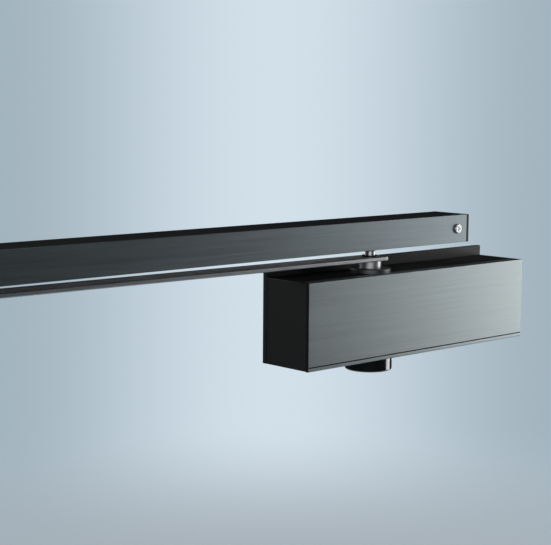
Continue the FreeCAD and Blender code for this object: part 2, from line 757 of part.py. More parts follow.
def lower_cap():
    """Round moulded cap pushed over the lower retainer's flange."""
    spindle = (spindle_x, spindle_y)
    bottom = -body_top - lower_cap_height
    outside = rod(lower_cap_radius, lower_cap_height, (*spindle, bottom))
    inside = rod(flange_radius, lower_cap_height - lower_cap_floor, (*spindle, bottom + lower_cap_floor))
    rounded = doc.addObject("Part::Chamfer", "Rounded")
    rounded.Base = outside
    doc.recompute()
    bottom_edge = lowest_edge(outside.Shape)
    rounded.Edges = [(bottom_edge, lower_cap_chamfer.number, lower_cap_chamfer.number)]
    finish(cut(rounded, inside), "lower_cap")


def lowest_edge(shape):
    """The number of the edge whose box lies lowest, counted from 1."""
    tops = [edge.BoundBox.ZMax for edge in shape.Edges]
    return tops.index(min(tops)) + 1


def housing_screws():
    """Four socket screws through the housing into the mounting plate."""
    screws = []
    for x, z in housing_screw_places():
        head_y = housing_front + head_sink
        head = rod(screw_head_radius, screw_head_height, (x, head_y, z), "Y")
        shank_y = head_y + screw_head_height
        shank = rod(screw_radius, -shank_y - screw_end_gap, (x, shank_y, z), "Y")
        socket = hexagon(screw_radius, screw_head_height / 2, (x, head_y, z), "Y")
        screws.append(cut(join(head, shank), socket))
    finish(group(*screws), "housing_screws")


def speed_valve(label, x):
    """Slotted valve screw with a pointed end, turned from the front with the cover off."""
    front = housing_front + valve_sink
    stem_length = valve_length - valve_point
    stem = rod(valve_radius, stem_length, (x, front, valve_height), "Y")
    tip_start = (x, front + stem_length, valve_height)
    tip = taper(valve_radius, valve_point_radius, valve_point, tip_start, "Y")
    slot = block(
        (x - valve_radius, front, valve_height - valve_slot_width / 2),
        (valve_radius * 2, valve_slot_depth, valve_slot_width),
    )
    finish(cut(join(stem, tip), slot), label)


def arm():
    """Flat bar: square end on the spindle, round end at the slider pin."""
    body = new_body("Arm")
    sketch = new_sketch(body, "XY_Plane")
    half = arm_width / 2
    add_arm_outline(sketch, half)
    add_circle(sketch, arm_reach, 0, pin_radius)
    drive = (square_side + square_play) / 2
    add_outline(sketch, rectangle(-drive, -drive, drive, drive))
    pad(body, sketch, arm_thick)
    body.Placement = Placement(Vector(), Rotation(Vector(0, 0, 1), arm_degrees))
    bind(body, "Placement.Rotation.Angle", arm_angle)
    place(body, spindle_x, spindle_y, arm_bottom)
    finish(body, "arm")


def add_arm_outline(sketch, half):
    """Two long edges, a half circle round the pin and a straight end beyond the spindle."""
    reach, tail = arm_reach.number, arm_tail.number
    high = half.number
    corners = [Vector(reach, high, 0), Vector(-tail, high, 0), Vector(-tail, -high, 0), Vector(reach, -high, 0)]
    for start, end in zip(corners, corners[1:]):
        sketch.addGeometry(Part.LineSegment(start, end), False)
    circle = Part.Circle(Vector(reach, 0, 0), Vector(0, 0, 1), high)
    sketch.addGeometry(Part.ArcOfCircle(circle, -math.pi / 2, math.pi / 2), False)
    for first, second in ((0, 1), (1, 2)):
        sketch.addConstraint(Sketcher.Constraint("Coincident", first, 2, second, 1))
    sketch.addConstraint(Sketcher.Constraint("Coincident", 2, 2, 3, 1))
    sketch.addConstraint(Sketcher.Constraint("Coincident", 3, 2, 0, 1))
    hold(sketch, "DistanceX", 3, 3, arm_reach)
    pin_point(sketch, 0, 1, arm_reach, half)
    pin_point(sketch, 1, 1, -arm_tail, half)
    pin_point(sketch, 2, 1, -arm_tail, -half)
    pin_point(sketch, 2, 2, arm_reach, -half)


def arm_fastening():
    """Washer and socket screw that clamp the arm on the spindle."""
    spindle = (spindle_x, spindle_y)
    washer_hole = arm_screw_radius + washer_play
    washer = tube(washer_radius, washer_hole, washer_thick, (*spindle, arm_top))
    finish(washer, "arm_washer")
    seat = arm_top + washer_thick
    shank = rod(arm_screw_radius, arm_screw_length, (*spindle, seat - arm_screw_length))
    head = rod(arm_screw_head, arm_screw_height, (*spindle, seat))
    socket_z = seat + arm_screw_height - arm_key_depth
    socket = hexagon(arm_key_radius, arm_key_depth, (*spindle, socket_z))
    finish(cut(join(shank, head), socket), "arm_screw")


def slider_pin():
    """Pivot pin riveted in the arm's end, with a collar below the slot and a clip on top."""
    centre = (slider_x, slider_y)
    clip_z = slider_bottom + slider_height + clip_play
    top = clip_z + clip_thick + pin_tail
    stem = rod(pin_radius, top - arm_bottom, (*centre, arm_bottom))
    collar = rod(pin_collar_radius, rail_gap / 2, (*centre, arm_top))
    groove = tube(pin_radius + 1, pin_radius - clip_groove, clip_thick, (*centre, clip_z))
    finish(cut(join(stem, collar), groove), "slider_pin")
    clip = tube(clip_radius, pin_radius - clip_groove, clip_thick, (*centre, clip_z))
    opening = block(
        (slider_x + pin_radius / 2, slider_y - pin_radius / 2, clip_z),
        (clip_radius, pin_radius, clip_thick),
    )
    finish(cut(clip, opening), "pin_clip")


def slider():
    """Low-friction block that runs in the rail, and the bronze bush that turns on the pin."""
    centre = (slider_x, slider_y)
    bore = pin_radius + pin_play
    solid = block(
        (slider_x - slider_length / 2, slider_y - slider_width / 2, slider_bottom),
        (slider_length, slider_width, slider_height),
    )
    hole = rod(bore + bush_wall, slider_height, (*centre, slider_bottom))
    finish(cut(solid, hole), "slider_block")
    finish(tube(bore + bush_wall, bore, slider_height, (*centre, slider_bottom)), "slider_bush")


def rail_screw_places():
    return rail_left + rail_screw_inset, rail_end_x - rail_screw_inset


def rail_channel():
    """Extruded channel, open below along its slot, with holes for the two rail screws."""
    body = new_body("RailChannel")
    section = new_sketch(body, "YZ_Plane")
    front, high, wall = -channel_depth, rail_height, rail_wall
    slot_front, slot_back = slider_y - rail_slot / 2, slider_y + rail_slot / 2
    add_outline(
        section,
        [
            (front, 0),
            (slot_front, 0),
            (slot_front, wall),
            (front + wall, wall),
            (front + wall, high - wall),
            (-wall, high - wall),
            (-wall, wall),
            (slot_back, wall),
            (slot_back, 0),
            (0, 0),
            (0, high),
            (front, high),
        ],
    )
    pad(body, section, rail_length - rail_cap_wall * 2)
    place(body, rail_left + rail_cap_wall, 0, rail_bottom)
    hole_z = rail_bottom + rail_height / 2
    holes = [
        rod(rail_hole_radius, channel_depth, (x, -channel_depth, hole_z), "Y")
        for x in rail_screw_places()
    ]
    finish(cut(body, *holes), "rail_channel")


def rail_trim():
    """Brushed strip on the rail's front, with holes for the rail screws."""
    strip = block(
        (rail_left + rail_cap_wall, -rail_depth, rail_bottom),
        (rail_length - rail_cap_wall * 2, trim_thick, rail_height),
    )
    hole_z = rail_bottom + rail_height / 2
    holes = [
        rod(rail_hole_radius, trim_thick, (x, -rail_depth, hole_z), "Y") for x in rail_screw_places()
    ]
    finish(cut(strip, *holes), "rail_trim")


def rail_end_cap(label, cap_x, plug_x):
    """Moulded cap over the rail's end, with a plug inside the channel."""
    plate = block((cap_x, -rail_depth, rail_bottom), (rail_cap_wall, rail_depth, rail_height))
    inner_width = channel_depth - rail_wall * 2
    inner_height = rail_height - rail_wall * 2
    plug = block(
        (plug_x, slider_y - inner_width / 2, rail_bottom + rail_wall),
        (rail_cap_plug, inner_width, inner_height),
    )
    finish(join(plate, plug), label)


def rail_screws():
    """Two cross-slotted screws through trim and channel, standing out behind the rail."""
    centre_z = rail_bottom + rail_height / 2
    head_y = -rail_depth - rail_head_height
    rim = rail_head_height - rail_head_chamfer
    shank_radius = rail_screw_radius - rail_thread_height
    screws = []
    for x in rail_screw_places():
        crown_radius = rail_head_radius - rail_head_chamfer
        crown_place = (x, head_y, centre_z)
        crown = taper(crown_radius, rail_head_radius, rail_head_chamfer, crown_place, "Y")
        head = rod(rail_head_radius, rim, (x, head_y + rail_head_chamfer, centre_z), "Y")
        shank = rod(shank_radius, rail_depth, (x, -rail_depth, centre_z), "Y")
        thread = rod(rail_screw_radius, rail_screw_reach, (x, 0, centre_z), "Y")
        across = block(
            (x - cross_reach, head_y, centre_z - cross_width / 2),
            (cross_reach * 2, cross_depth, cross_width),
        )
        upright = block(
            (x - cross_width / 2, head_y, centre_z - cross_reach),
            (cross_width, cross_depth, cross_reach * 2),
        )
        screws.append(cut(join(crown, head, shank, thread), across, upright))
    finish(group(*screws), "rail_screws")


def rail_stops():
    """Rubber buffers that end the slider's travel just inside the rail screws."""
    width = channel_depth - rail_wall * 2
    clear = rail_hole_radius
    stops = []
    left_x, right_x = rail_screw_places()
    for x in (left_x + clear, right_x - clear - stop_length):
        stops.append(
            block(
                (x, slider_y - width / 2, rail_bottom + rail_wall),
                (stop_length, width, rail_height - rail_wall * 2),
            )
        )
    finish(group(*stops), "rail_stops")


def check_and_write():
    """Recomputes, refuses a failed object or shape, and writes one file per sub-part."""
    doc.recompute()
    for item in doc.Objects:
        if "Invalid" in item.State or "Error" in item.State:
            raise RuntimeError(f"{item.Name} ({item.Label}) failed: {item.State}")
    for item in parts:
        if item.Shape.isNull() or not item.Shape.isValid() or not item.Shape.Solids:
            raise RuntimeError(f"{item.Label} has no valid solid")
    os.makedirs("parts", exist_ok=True)
    for item in parts:
        item.Shape.exportStep(f"parts/{item.Label}.step")
        print(item.Label, len(item.Shape.Solids), round(item.Shape.Volume, 2))


mounting_plate()
housing()
front_cover()
end_cap("end_cap_left", housing_left - cap_wall, housing_left)
end_cap("end_cap_right", housing_left + housing_length, housing_left + housing_length - peg_length)
plugs()
spring_seat()
closing_spring()
piston()
check_valve()
pinion_shaft()
bearings()
lower_cap()
housing_screws()
speed_valve("sweep_valve", sweep_valve_x)
speed_valve("latch_valve", latch_valve_x)
arm()
arm_fastening()
slider_pin()
slider()
rail_channel()
rail_trim()
rail_end_cap("rail_end_cap_left", rail_left, rail_left + rail_cap_wall)
rail_end_cap("rail_end_cap_right", rail_end_x - rail_cap_wall, rail_end_x - rail_cap_wall - rail_cap_plug)
rail_screws()
rail_stops()
check_and_write()
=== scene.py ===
import json
import math

import bpy
from mathutils import Euler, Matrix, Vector


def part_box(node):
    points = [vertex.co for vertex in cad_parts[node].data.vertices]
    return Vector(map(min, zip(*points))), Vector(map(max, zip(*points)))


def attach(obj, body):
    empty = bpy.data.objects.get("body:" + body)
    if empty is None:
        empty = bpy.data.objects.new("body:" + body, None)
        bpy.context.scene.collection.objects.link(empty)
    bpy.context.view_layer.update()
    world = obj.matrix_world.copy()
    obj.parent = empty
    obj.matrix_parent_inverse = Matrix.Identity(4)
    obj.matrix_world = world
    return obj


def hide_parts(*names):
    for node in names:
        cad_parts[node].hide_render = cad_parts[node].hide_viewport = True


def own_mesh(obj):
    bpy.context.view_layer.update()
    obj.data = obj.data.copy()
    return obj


bl_info = {
    "name": "Slide Rail Door Closer",
    "version": (1, 0, 0),
    "blender": (4, 5, 0),
    "location": "3D View > Sidebar > Closer",
    "description": "Builds the finished looks of a slide-rail door closer round its packed parts",
    "category": "Add Mesh",
}

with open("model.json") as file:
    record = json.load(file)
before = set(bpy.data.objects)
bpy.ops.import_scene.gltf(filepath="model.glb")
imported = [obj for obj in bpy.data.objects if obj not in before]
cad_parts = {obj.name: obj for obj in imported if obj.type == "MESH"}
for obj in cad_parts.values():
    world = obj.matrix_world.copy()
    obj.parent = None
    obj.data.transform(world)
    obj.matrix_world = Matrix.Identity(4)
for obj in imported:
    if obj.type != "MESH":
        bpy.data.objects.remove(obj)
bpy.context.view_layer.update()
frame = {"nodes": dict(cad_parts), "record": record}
MM = 0.001


def linear(hex_colour):
    """An sRGB hex colour as the linear red, green and blue that Blender works in."""
    channels = [int(hex_colour[i : i + 2], 16) / 255 for i in (1, 3, 5)]
    return [c / 12.92 if c <= 0.04045 else ((c + 0.055) / 1.055) ** 2.4 for c in channels]


def length(name, description, millimetres):
    """A property for a size in metres."""
    return bpy.props.FloatProperty(
        name=name,
        description=description,
        default=millimetres * MM,
        min=0,
        unit="LENGTH",
        precision=5,
    )


def colour(name, description, hex_colour):
    """A property for a colour."""
    return bpy.props.FloatVectorProperty(
        name=name,
        description=description,
        default=linear(hex_colour),
        subtype="COLOR",
        min=0,
        max=1,
    )


class CloserSizes(bpy.types.PropertyGroup):
    """Sizes of the details that a maker would set."""

    cover_edge: length("Cover edge", "Rounding of the front cover's long edges", 0.5)
    lip_height: length("Lip", "Lip below the cover's shadow groove", 2.5)
    groove_height: length("Groove height", "Height of the cover's shadow groove", 0.8)
    groove_depth: length("Groove depth", "Depth of the cover's shadow groove", 1.2)
    hook_thick: length("Hooks", "Thickness of the hooks that hold the cover", 1.5)
    cap_edge: length("Cap edge", "Rounding of the moulded end caps", 0.7)
    cap_border: length("Cap border", "Rim round the end cap's sunk panel", 2.6)
    cap_panel: length("Cap panel", "Depth of the end cap's sunk panel", 0.35)
    peg_radius: length("Pegs", "Radius of the end cap's locating pegs", 1.5)
    plate_edge: length("Plate edge", "Broken edge of the mounting plate", 0.35)
    door_sink: length("Countersink", "Radius of the door holes' countersink", 5)
    housing_screw_hole: length("Housing screw hole", "Radius of the plate's tapped holes", 2.5)
    housing_screw_head: length("Housing screw head", "Radius of the housing screws' heads", 4.25)
    flange_edge: length("Flange edge", "Rounding of the bearing flange's rim", 0.9)
    flange_bore: length("Flange bore", "Radius of the hole round the spindle", 8.3)
    flange_neck: length("Flange neck", "Radius of the bearing flange's threaded neck", 12)
    spanner_hole: length("Spanner holes", "Radius and depth of the flange's spanner holes", 1.5)
    lower_cap_edge: length("Lower cap edge", "Rounding of the round cap's lower rim", 1.1)
    lower_cap_border: length("Lower cap border", "Rim round the dish under the round cap", 2.2)
    lower_cap_dish: length("Lower cap dish", "Depth of the dish under the round cap", 0.5)
    lower_cap_floor: length("Lower cap floor", "Thickness of the round cap's floor", 1.8)
    arm_edge: length("Arm edge", "Rounded edges of the drawn bar that the arm is made from", 0.8)
    arm_half_width: length("Arm half width", "From the arm's middle line to its edge", 10)
    arm_tail: length("Arm tail", "Arm beyond the spindle's axis", 9)
    arm_corner: length("Arm corner", "Rounding of the arm's two square corners", 1.5)
    drive_half: length("Drive hole", "Half the side of the arm's square hole", 4.78)
    pin_hole: length("Pin hole", "Radius of the hole at the arm's round end", 4)
    arm_screw_edge: length("Arm screw edge", "Rounding of the arm screw's head", 0.5)
    arm_screw_socket: length("Arm screw socket", "Radius over the socket's corners", 2.1)
    arm_screw_shank: length("Arm screw shank", "Radius of the arm screw's shank", 2.5)
    washer_hole: length("Washer hole", "Radius of the arm washer's hole", 2.7)
    washer_edge: length("Washer edge", "Rounding of the arm washer's rim", 0.2)
    rail_wall: length("Rail wall", "Wall of the rail channel", 2.4)
    rail_slot: length("Rail slot", "Width of the slot under the rail", 13)
    rail_screw_hole: length("Rail screw hole", "Radius of the rail's screw holes", 2.6)
    rail_cap_edge: length("Rail cap edge", "Rounding of the rail's end caps", 0.6)
    rail_edge: length("Rail edge", "Rounding of the rail's extruded edges", 0.4)
    trim_edge: length("Trim edge", "Rounding of the rail trim's long edges", 0.3)
    screw_head_edge: length("Pan head edge", "Rounding of the rail screws' heads", 0.8)
    cross_half: length("Cross slot", "Half the width of the cross recess", 0.45)
    cross_reach: length("Cross reach", "From the screw's axis to the cross's ends", 1.9)
    cross_depth: length("Cross depth", "Depth of the cross recess", 0.9)
    screw_shank: length("Screw shank", "Radius of the rail screws' plain shank", 1.8)
    screw_thread: length("Screw thread", "Outer radius of the rail screws' thread", 2.2)
    screw_tip: length("Screw point", "Length of the rail screws' point", 3)
    screw_tip_radius: length("Screw point end", "Radius at the very end of the point", 0.3)
    thread_pitch: length("Thread pitch", "Pitch of the rail screws' thread", 1.4)
    thread_depth: length("Thread depth", "Depth of the rail screws' thread", 0.45)


class CloserColours(bpy.types.PropertyGroup):
    """Colours of the finishes."""

    gunmetal: colour("Gunmetal", "Anodised front cover", "#889091")
    # painted shade: the trim is the cover's anodising made darker so that the rail looks shaded
    trim_gunmetal_shaded: colour("Trim gunmetal", "Anodised rail trim, from a darker batch", "#757E81")
    black_coat: colour("Black coat", "Powder coat on the mounting plate", "#101214")
    black_anodised: colour("Black anodising", "Rail channel and housing", "#0F0F10")
    black_plastic: colour("Black plastic", "Moulded caps", "#0C0C0C")
    steel: colour("Steel", "Ground spindle and pins", "#BDBEBF")
    phosphate: colour("Phosphated steel", "Bearing flanges", "#5E6163")
    arm_nickel: colour("Dark nickel", "Plated arm", "#B4B6B8")
    zinc: colour("Zinc", "Bright screws", "#C9CACB")
    bronze: colour("Bronze", "Bushes and valves", "#A9814E")
    rubber: colour("Rubber", "Seals and stops", "#1B1B1B")
    acetal: colour("Acetal", "Slider block", "#D8D5CB")
    backdrop: colour("Backdrop", "Floor and the surroundings behind the closer", "#D2E0EA")
    backdrop_shade: colour("Backdrop shade", "Surroundings to both sides", "#A3B4BF")


# ---------------------------------------------------------------- working with meshes


def deselect():
    """Back to object mode with nothing selected."""
    if bpy.context.object and bpy.context.object.mode != "OBJECT":
        bpy.ops.object.mode_set(mode="OBJECT")
    bpy.ops.object.select_all(action="DESELECT")


def select(piece):
    """Only this piece is selected and active."""
    deselect()
    piece.select_set(True)
    bpy.context.view_layer.objects.active = piece
    return piece


def settle(piece):
    """Writes the object's place, turn and size into its mesh."""
    select(piece)
    bpy.ops.object.transform_apply(location=True, rotation=True, scale=True)
    return piece


def block(name, low, high):
    """A box between two corners."""
    low, high = Vector(low), Vector(high)
    deselect()
    bpy.ops.mesh.primitive_cube_add(size=1, location=(low + high) / 2, scale=high - low)
    piece = bpy.context.object
    piece.name = name
    return settle(piece)


TURN = {"X": Euler((0, math.pi / 2, 0)), "Y": Euler((-math.pi / 2, 0, 0)), "Z": Euler((0, 0, 0))}


def round_bar(name, radius, start, reach, along="Z", sides=96, end_radius=None):
    """A cylinder or cone from its start point, with flat ends."""
    turn = TURN[along]
    deselect()
    offset = Vector((0, 0, reach / 2))
    offset.rotate(turn)
    bpy.ops.mesh.primitive_cone_add(
        vertices=sides,
        radius1=radius,
        radius2=radius if end_radius is None else end_radius,
        depth=reach,
        location=Vector(start) + offset,
        rotation=turn,
    )
    piece = bpy.context.object
    piece.name = name
    return settle(piece)


def pick(piece, kind, test):
    """Edit mode with only the corners, edges or faces that pass the test selected."""
    select(piece)
    bpy.ops.object.mode_set(mode="EDIT")
    bpy.ops.mesh.select_mode(type=kind)
    bpy.ops.mesh.select_all(action="DESELECT")
    bpy.ops.object.mode_set(mode="OBJECT")
    mesh = piece.data
    if kind == "FACE":
        for face in mesh.polygons:
            face.select = test(face.center, face.normal)
    elif kind == "VERT":
        for corner in mesh.vertices:
            corner.select = test(corner.co)
    else:
        for edge in mesh.edges:
            ends = [mesh.vertices[i].co for i in edge.vertices]
            edge.select = test(ends[0], ends[1])
    bpy.ops.object.mode_set(mode="EDIT")


def done():
    """Back to object mode."""
    bpy.ops.object.mode_set(mode="OBJECT")


def round_edges(piece, test, width, steps=3):
    """Bevels the edges that pass the test."""
    pick(piece, "EDGE", test)
    bpy.ops.mesh.bevel(
        offset=width, offset_type="OFFSET", segments=steps, affect="EDGES", clamp_overlap=True
    )
    done()


def push_faces(piece, test, move):
    """Extrudes the faces that pass the test along a move."""
    pick(piece, "FACE", test)
    bpy.ops.mesh.extrude_region_move(TRANSFORM_OT_translate={"value": move})
    done()


def sink_panel(piece, test, border, move):
    """Insets the faces that pass the test and moves the inner panel."""
    pick(piece, "FACE", test)
    bpy.ops.mesh.inset(thickness=border, use_even_offset=True)
    bpy.ops.transform.translate(value=move)
    done()


def slice_mesh(piece, point, normal):
    """Adds an edge loop where a plane cuts the mesh."""
    select(piece)
    bpy.ops.object.mode_set(mode="EDIT")
    bpy.ops.mesh.select_all(action="SELECT")
    bpy.ops.mesh.bisect(plane_co=point, plane_no=normal)
    done()


def carve(piece, tool):
    """Cuts the tool's shape out of the piece."""
    select(piece)
    modifier = piece.modifiers.new("Carve", "BOOLEAN")
    modifier.operation = "DIFFERENCE"
    modifier.solver = "EXACT"
    modifier.object = tool
    bpy.ops.object.modifier_apply(modifier=modifier.name)
    bpy.data.objects.remove(tool)


def drill(piece, radius, start, reach, along="Z", sides=96):
    """Cuts a round hole from a point."""
    carve(piece, round_bar("hole", radius, start, reach, along, sides))


def unite(piece, *others):
    """Joins separate shells into one piece."""
    select(piece)
    for other in others:
        other.select_set(True)
    bpy.ops.object.join()
    return piece


def soften(piece, degrees=38):
    """Smooth shading across small angles, with flat faces kept flat."""
    select(piece)
    bpy.ops.object.shade_smooth_by_angle(angle=math.radians(degrees))
    modifier = piece.modifiers.new("Flat faces", "WEIGHTED_NORMAL")
    modifier.keep_sharp = True
    modifier.weight = 100
    bpy.ops.object.modifier_apply(modifier=modifier.name)
    return piece


def hand_over(piece, body, slot, material, *nodes):
    """Dresses a finished piece, lets it ride on its body and stand for its nodes."""
    piece.data.materials.clear()
    piece.data.materials.append(material)
    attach(piece, body)
    if nodes:
        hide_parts(*nodes)
    return piece


def paint_shade_on_faces(piece, material, test):
    """Gives the faces that pass the test a second material, used as painted shade."""
    piece.data.materials.append(material)
    for face in piece.data.polygons:
        if test(face.center, face.normal):
            face.material_index = len(piece.data.materials) - 1


def wound(name, wire, radius, pitch, turns, sides, steps):
    """A bar wound into a helix up the Z axis, with closed ends."""
    deselect()
    bpy.ops.mesh.primitive_circle_add(vertices=sides, radius=wire, fill_type="NOTHING")
    helix = bpy.context.object
    helix.name = name
    helix.rotation_euler = (math.pi / 2, 0, 0)
    settle(helix)
    helix.location = (radius, 0, 0)
    settle(helix)
    winding = helix.modifiers.new("Winding", "SCREW")
    winding.axis = "Z"
    winding.screw_offset = pitch
    winding.iterations = turns
    winding.steps = steps
    winding.render_steps = steps
    bpy.ops.object.modifier_apply(modifier=winding.name)
    bpy.ops.object.mode_set(mode="EDIT")
    bpy.ops.mesh.select_mode(type="VERT")
    bpy.ops.mesh.select_all(action="SELECT")
    bpy.ops.mesh.fill_holes(sides=0)
    bpy.ops.mesh.select_all(action="SELECT")
    bpy.ops.mesh.normals_make_consistent(inside=False)
    done()
    return helix


def near(a, b, tolerance=0.02 * MM):
    """True for two places that are the same to the eye."""
    return abs(a - b) < tolerance


def both_near(start, end, axis, value):
    """True for an edge whose two ends lie at the value along one axis."""
    return near(start[axis], value) and near(end[axis], value)


def middle_of(node):
    """The middle of a node's box."""
    low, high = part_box(node)
    return (low + high) / 2


def half_width(node):
    """Half of a node's width, which is the radius of a round one."""
    low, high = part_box(node)
    return (high.x - low.x) / 2


def rail_screw_places():
    """Where the two rail screws stand along the rail."""
    low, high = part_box("rail_screws")
    head = (high.z - low.z) / 2
    return low.x + head, high.x - head


# ---------------------------------------------------------------- materials


def new_material(name):
    """An empty material with its shader, and the shader and tree to build on."""
    material = bpy.data.materials.new(name)
    material.use_nodes = True
    tree = material.node_tree
    tree.nodes.clear()
    shader = tree.nodes.new("ShaderNodeBsdfPrincipled")
    output = tree.nodes.new("ShaderNodeOutputMaterial")
    tree.links.new(shader.outputs["BSDF"], output.inputs["Surface"])
    return material, tree, shader


def add(tree, kind, inputs=None, **settings):
    """Adds a node with its settings, and sets or links its inputs."""
    made = tree.nodes.new(kind)
    for name, value in settings.items():
        setattr(made, name, value)
    for name, value in (inputs or {}).items():
        if isinstance(value, bpy.types.NodeSocket):
            tree.links.new(value, made.inputs[name])
        else:
            made.inputs[name].default_value = value
    return made


def streaks(tree, along, spacing, run):
    """Noise drawn out into streaks: spacing across them and run along them, in metres."""
    across = 1 / spacing
    scale = [across, across, across]
    scale["XYZ".index(along)] = 1 / run
    place = add(tree, "ShaderNodeTexCoord")
    stretched = add(tree, "ShaderNodeMapping", {"Vector": place.outputs["Object"], "Scale": scale})
    noise = {"Vector": stretched.outputs["Vector"], "Scale": 1.0, "Detail": 3.0, "Roughness": 0.6}
    return add(tree, "ShaderNodeTexNoise", noise).outputs["Fac"]


def grain(tree, spacing, detail=2.0):
    """Even noise with one grain every spacing, in metres."""
    place = add(tree, "ShaderNodeTexCoord")
    noise = {"Vector": place.outputs["Object"], "Scale": 1 / spacing, "Detail": detail}
    return add(tree, "ShaderNodeTexNoise", noise).outputs["Fac"]


def spread(tree, factor, low, high):
    """Maps a noise's middle range onto low to high."""
    inputs = {"Value": factor, "From Min": 0.3, "From Max": 0.7, "To Min": low, "To Max": high}
    return add(tree, "ShaderNodeMapRange", inputs).outputs["Result"]


def shade(tree, factor, tint, dark, light):
    """The tint made darker and lighter by a noise."""
    amount = spread(tree, factor, dark, light)
    inputs = {"Color": (*tint, 1), "Value": amount, "Fac": 1.0}
    return add(tree, "ShaderNodeHueSaturation", inputs).outputs["Color"]


def bumps(tree, height, strength, depth):
    """A bump normal from a height, with its depth in metres."""
    inputs = {"Height": height, "Strength": strength, "Distance": depth}
    return add(tree, "ShaderNodeBump", inputs).outputs["Normal"]


def brushed_dark_metal(name, tint, along="X"):
    """Metal brushed lengthwise, then anodised or plated: long streaks of slightly uneven gloss."""
    material, tree, shader = new_material(name)
    # the belt's lines are finer than 0.1 mm, so they are drawn five times as coarse to show
    fine = streaks(tree, along, 0.4 * MM, 60 * MM)
    broad = streaks(tree, along, 2.2 * MM, 160 * MM)
    mixed = add(tree, "ShaderNodeMix", {"Factor": 0.35, "A": fine, "B": broad}, data_type="FLOAT")
    both = mixed.outputs["Result"]
    shader.inputs["Metallic"].default_value = 1.0
    tree.links.new(shade(tree, both, tint, 0.9, 1.1), shader.inputs["Base Color"])
    tree.links.new(spread(tree, both, 0.3, 0.38), shader.inputs["Roughness"])
    tree.links.new(bumps(tree, fine, 0.25, 0.02 * MM), shader.inputs["Normal"])
    return material


def powder_coat(name, tint):
    """Powder coat on steel: a soft orange-peel skin with a low satin sheen."""
    material, tree, shader = new_material(name)
    peel = grain(tree, 1.6 * MM)
    tree.links.new(shade(tree, peel, tint, 0.85, 1.15), shader.inputs["Base Color"])
    tree.links.new(spread(tree, peel, 0.42, 0.54), shader.inputs["Roughness"])
    tree.links.new(bumps(tree, peel, 0.35, 0.05 * MM), shader.inputs["Normal"])
    shader.inputs["Specular IOR Level"].default_value = 0.3
    return material


def black_anodising(name, tint):
    """Extruded aluminium, anodised black: die lines along its length and a dull sheen."""
    material, tree, shader = new_material(name)
    lines = streaks(tree, "X", 0.9 * MM, 120 * MM)
    tree.links.new(shade(tree, lines, tint, 0.8, 1.2), shader.inputs["Base Color"])
    tree.links.new(spread(tree, lines, 0.46, 0.58), shader.inputs["Roughness"])
    tree.links.new(bumps(tree, lines, 0.2, 0.02 * MM), shader.inputs["Normal"])
    shader.inputs["Metallic"].default_value = 0.4
    shader.inputs["Specular IOR Level"].default_value = 0.25
    return material


def polished_abs(name, tint):
    """Moulded ABS from a polished tool: glossy, with the slight ripple of moulding."""
    material, tree, shader = new_material(name)
    ripple = grain(tree, 6 * MM)
    tree.links.new(shade(tree, ripple, tint, 0.9, 1.1), shader.inputs["Base Color"])
    tree.links.new(spread(tree, ripple, 0.12, 0.2), shader.inputs["Roughness"])
    tree.links.new(bumps(tree, ripple, 0.1, 0.05 * MM), shader.inputs["Normal"])
    shader.inputs["Coat Weight"].default_value = 1.0
    shader.inputs["Coat Roughness"].default_value = 0.08
    return material


def phosphated_steel(name, tint):
    """Turned steel, phosphated: a dark grey, half-dull skin over fine turning marks."""
    material, tree, shader = new_material(name)
    mottle = grain(tree, 0.8 * MM, 3.0)
    shader.inputs["Metallic"].default_value = 1.0
    tree.links.new(shade(tree, mottle, tint, 0.85, 1.12), shader.inputs["Base Color"])
    tree.links.new(spread(tree, mottle, 0.42, 0.52), shader.inputs["Roughness"])
    tree.links.new(bumps(tree, mottle, 0.2, 0.01 * MM), shader.inputs["Normal"])
    return material


def moulded_abs(name, tint):
    """Moulded ABS from a spark-eroded tool: fine matt texture, a little gloss at the edges."""
    material, tree, shader = new_material(name)
    texture = grain(tree, 0.55 * MM, 3.0)
    tree.links.new(shade(tree, texture, tint, 0.8, 1.2), shader.inputs["Base Color"])
    tree.links.new(spread(tree, texture, 0.5, 0.62), shader.inputs["Roughness"])
    tree.links.new(bumps(tree, texture, 0.3, 0.03 * MM), shader.inputs["Normal"])
    shader.inputs["Specular IOR Level"].default_value = 0.3
    return material


def ground_steel(name, tint, along="Z"):
    """Steel ground round its axis: fine rings and a clean highlight."""
    material, tree, shader = new_material(name)
    place = add(tree, "ShaderNodeTexCoord")
    scale = [40, 40, 40]
    scale["XYZ".index(along)] = 1 / (0.35 * MM)
    ringed = add(tree, "ShaderNodeMapping", {"Vector": place.outputs["Object"], "Scale": scale})
    noise = {"Vector": ringed.outputs["Vector"], "Scale": 1.0, "Detail": 2.0}
    rings = add(tree, "ShaderNodeTexNoise", noise).outputs["Fac"]
    shader.inputs["Metallic"].default_value = 1.0
    tree.links.new(shade(tree, rings, tint, 0.9, 1.08), shader.inputs["Base Color"])
    tree.links.new(spread(tree, rings, 0.36, 0.48), shader.inputs["Roughness"])
    tree.links.new(bumps(tree, rings, 0.15, 0.01 * MM), shader.inputs["Normal"])
    return material


def zinc_plate(name, tint):
    """Bright zinc on steel: nearly mirror bright, faintly cloudy."""
    material, tree, shader = new_material(name)
    cloud = grain(tree, 2.5 * MM)
    shader.inputs["Metallic"].default_value = 1.0
    tree.links.new(shade(tree, cloud, tint, 0.92, 1.05), shader.inputs["Base Color"])
    tree.links.new(spread(tree, cloud, 0.26, 0.38), shader.inputs["Roughness"])
    return material


def sintered_bronze(name, tint):
    """Sintered bronze: open pores that hold oil, so it is speckled and half dull."""
    material, tree, shader = new_material(name)
    pores = grain(tree, 0.4 * MM, 4.0)
    shader.inputs["Metallic"].default_value = 1.0
    tree.links.new(shade(tree, pores, tint, 0.75, 1.1), shader.inputs["Base Color"])
    tree.links.new(spread(tree, pores, 0.32, 0.5), shader.inputs["Roughness"])
    tree.links.new(bumps(tree, pores, 0.3, 0.02 * MM), shader.inputs["Normal"])
    return material


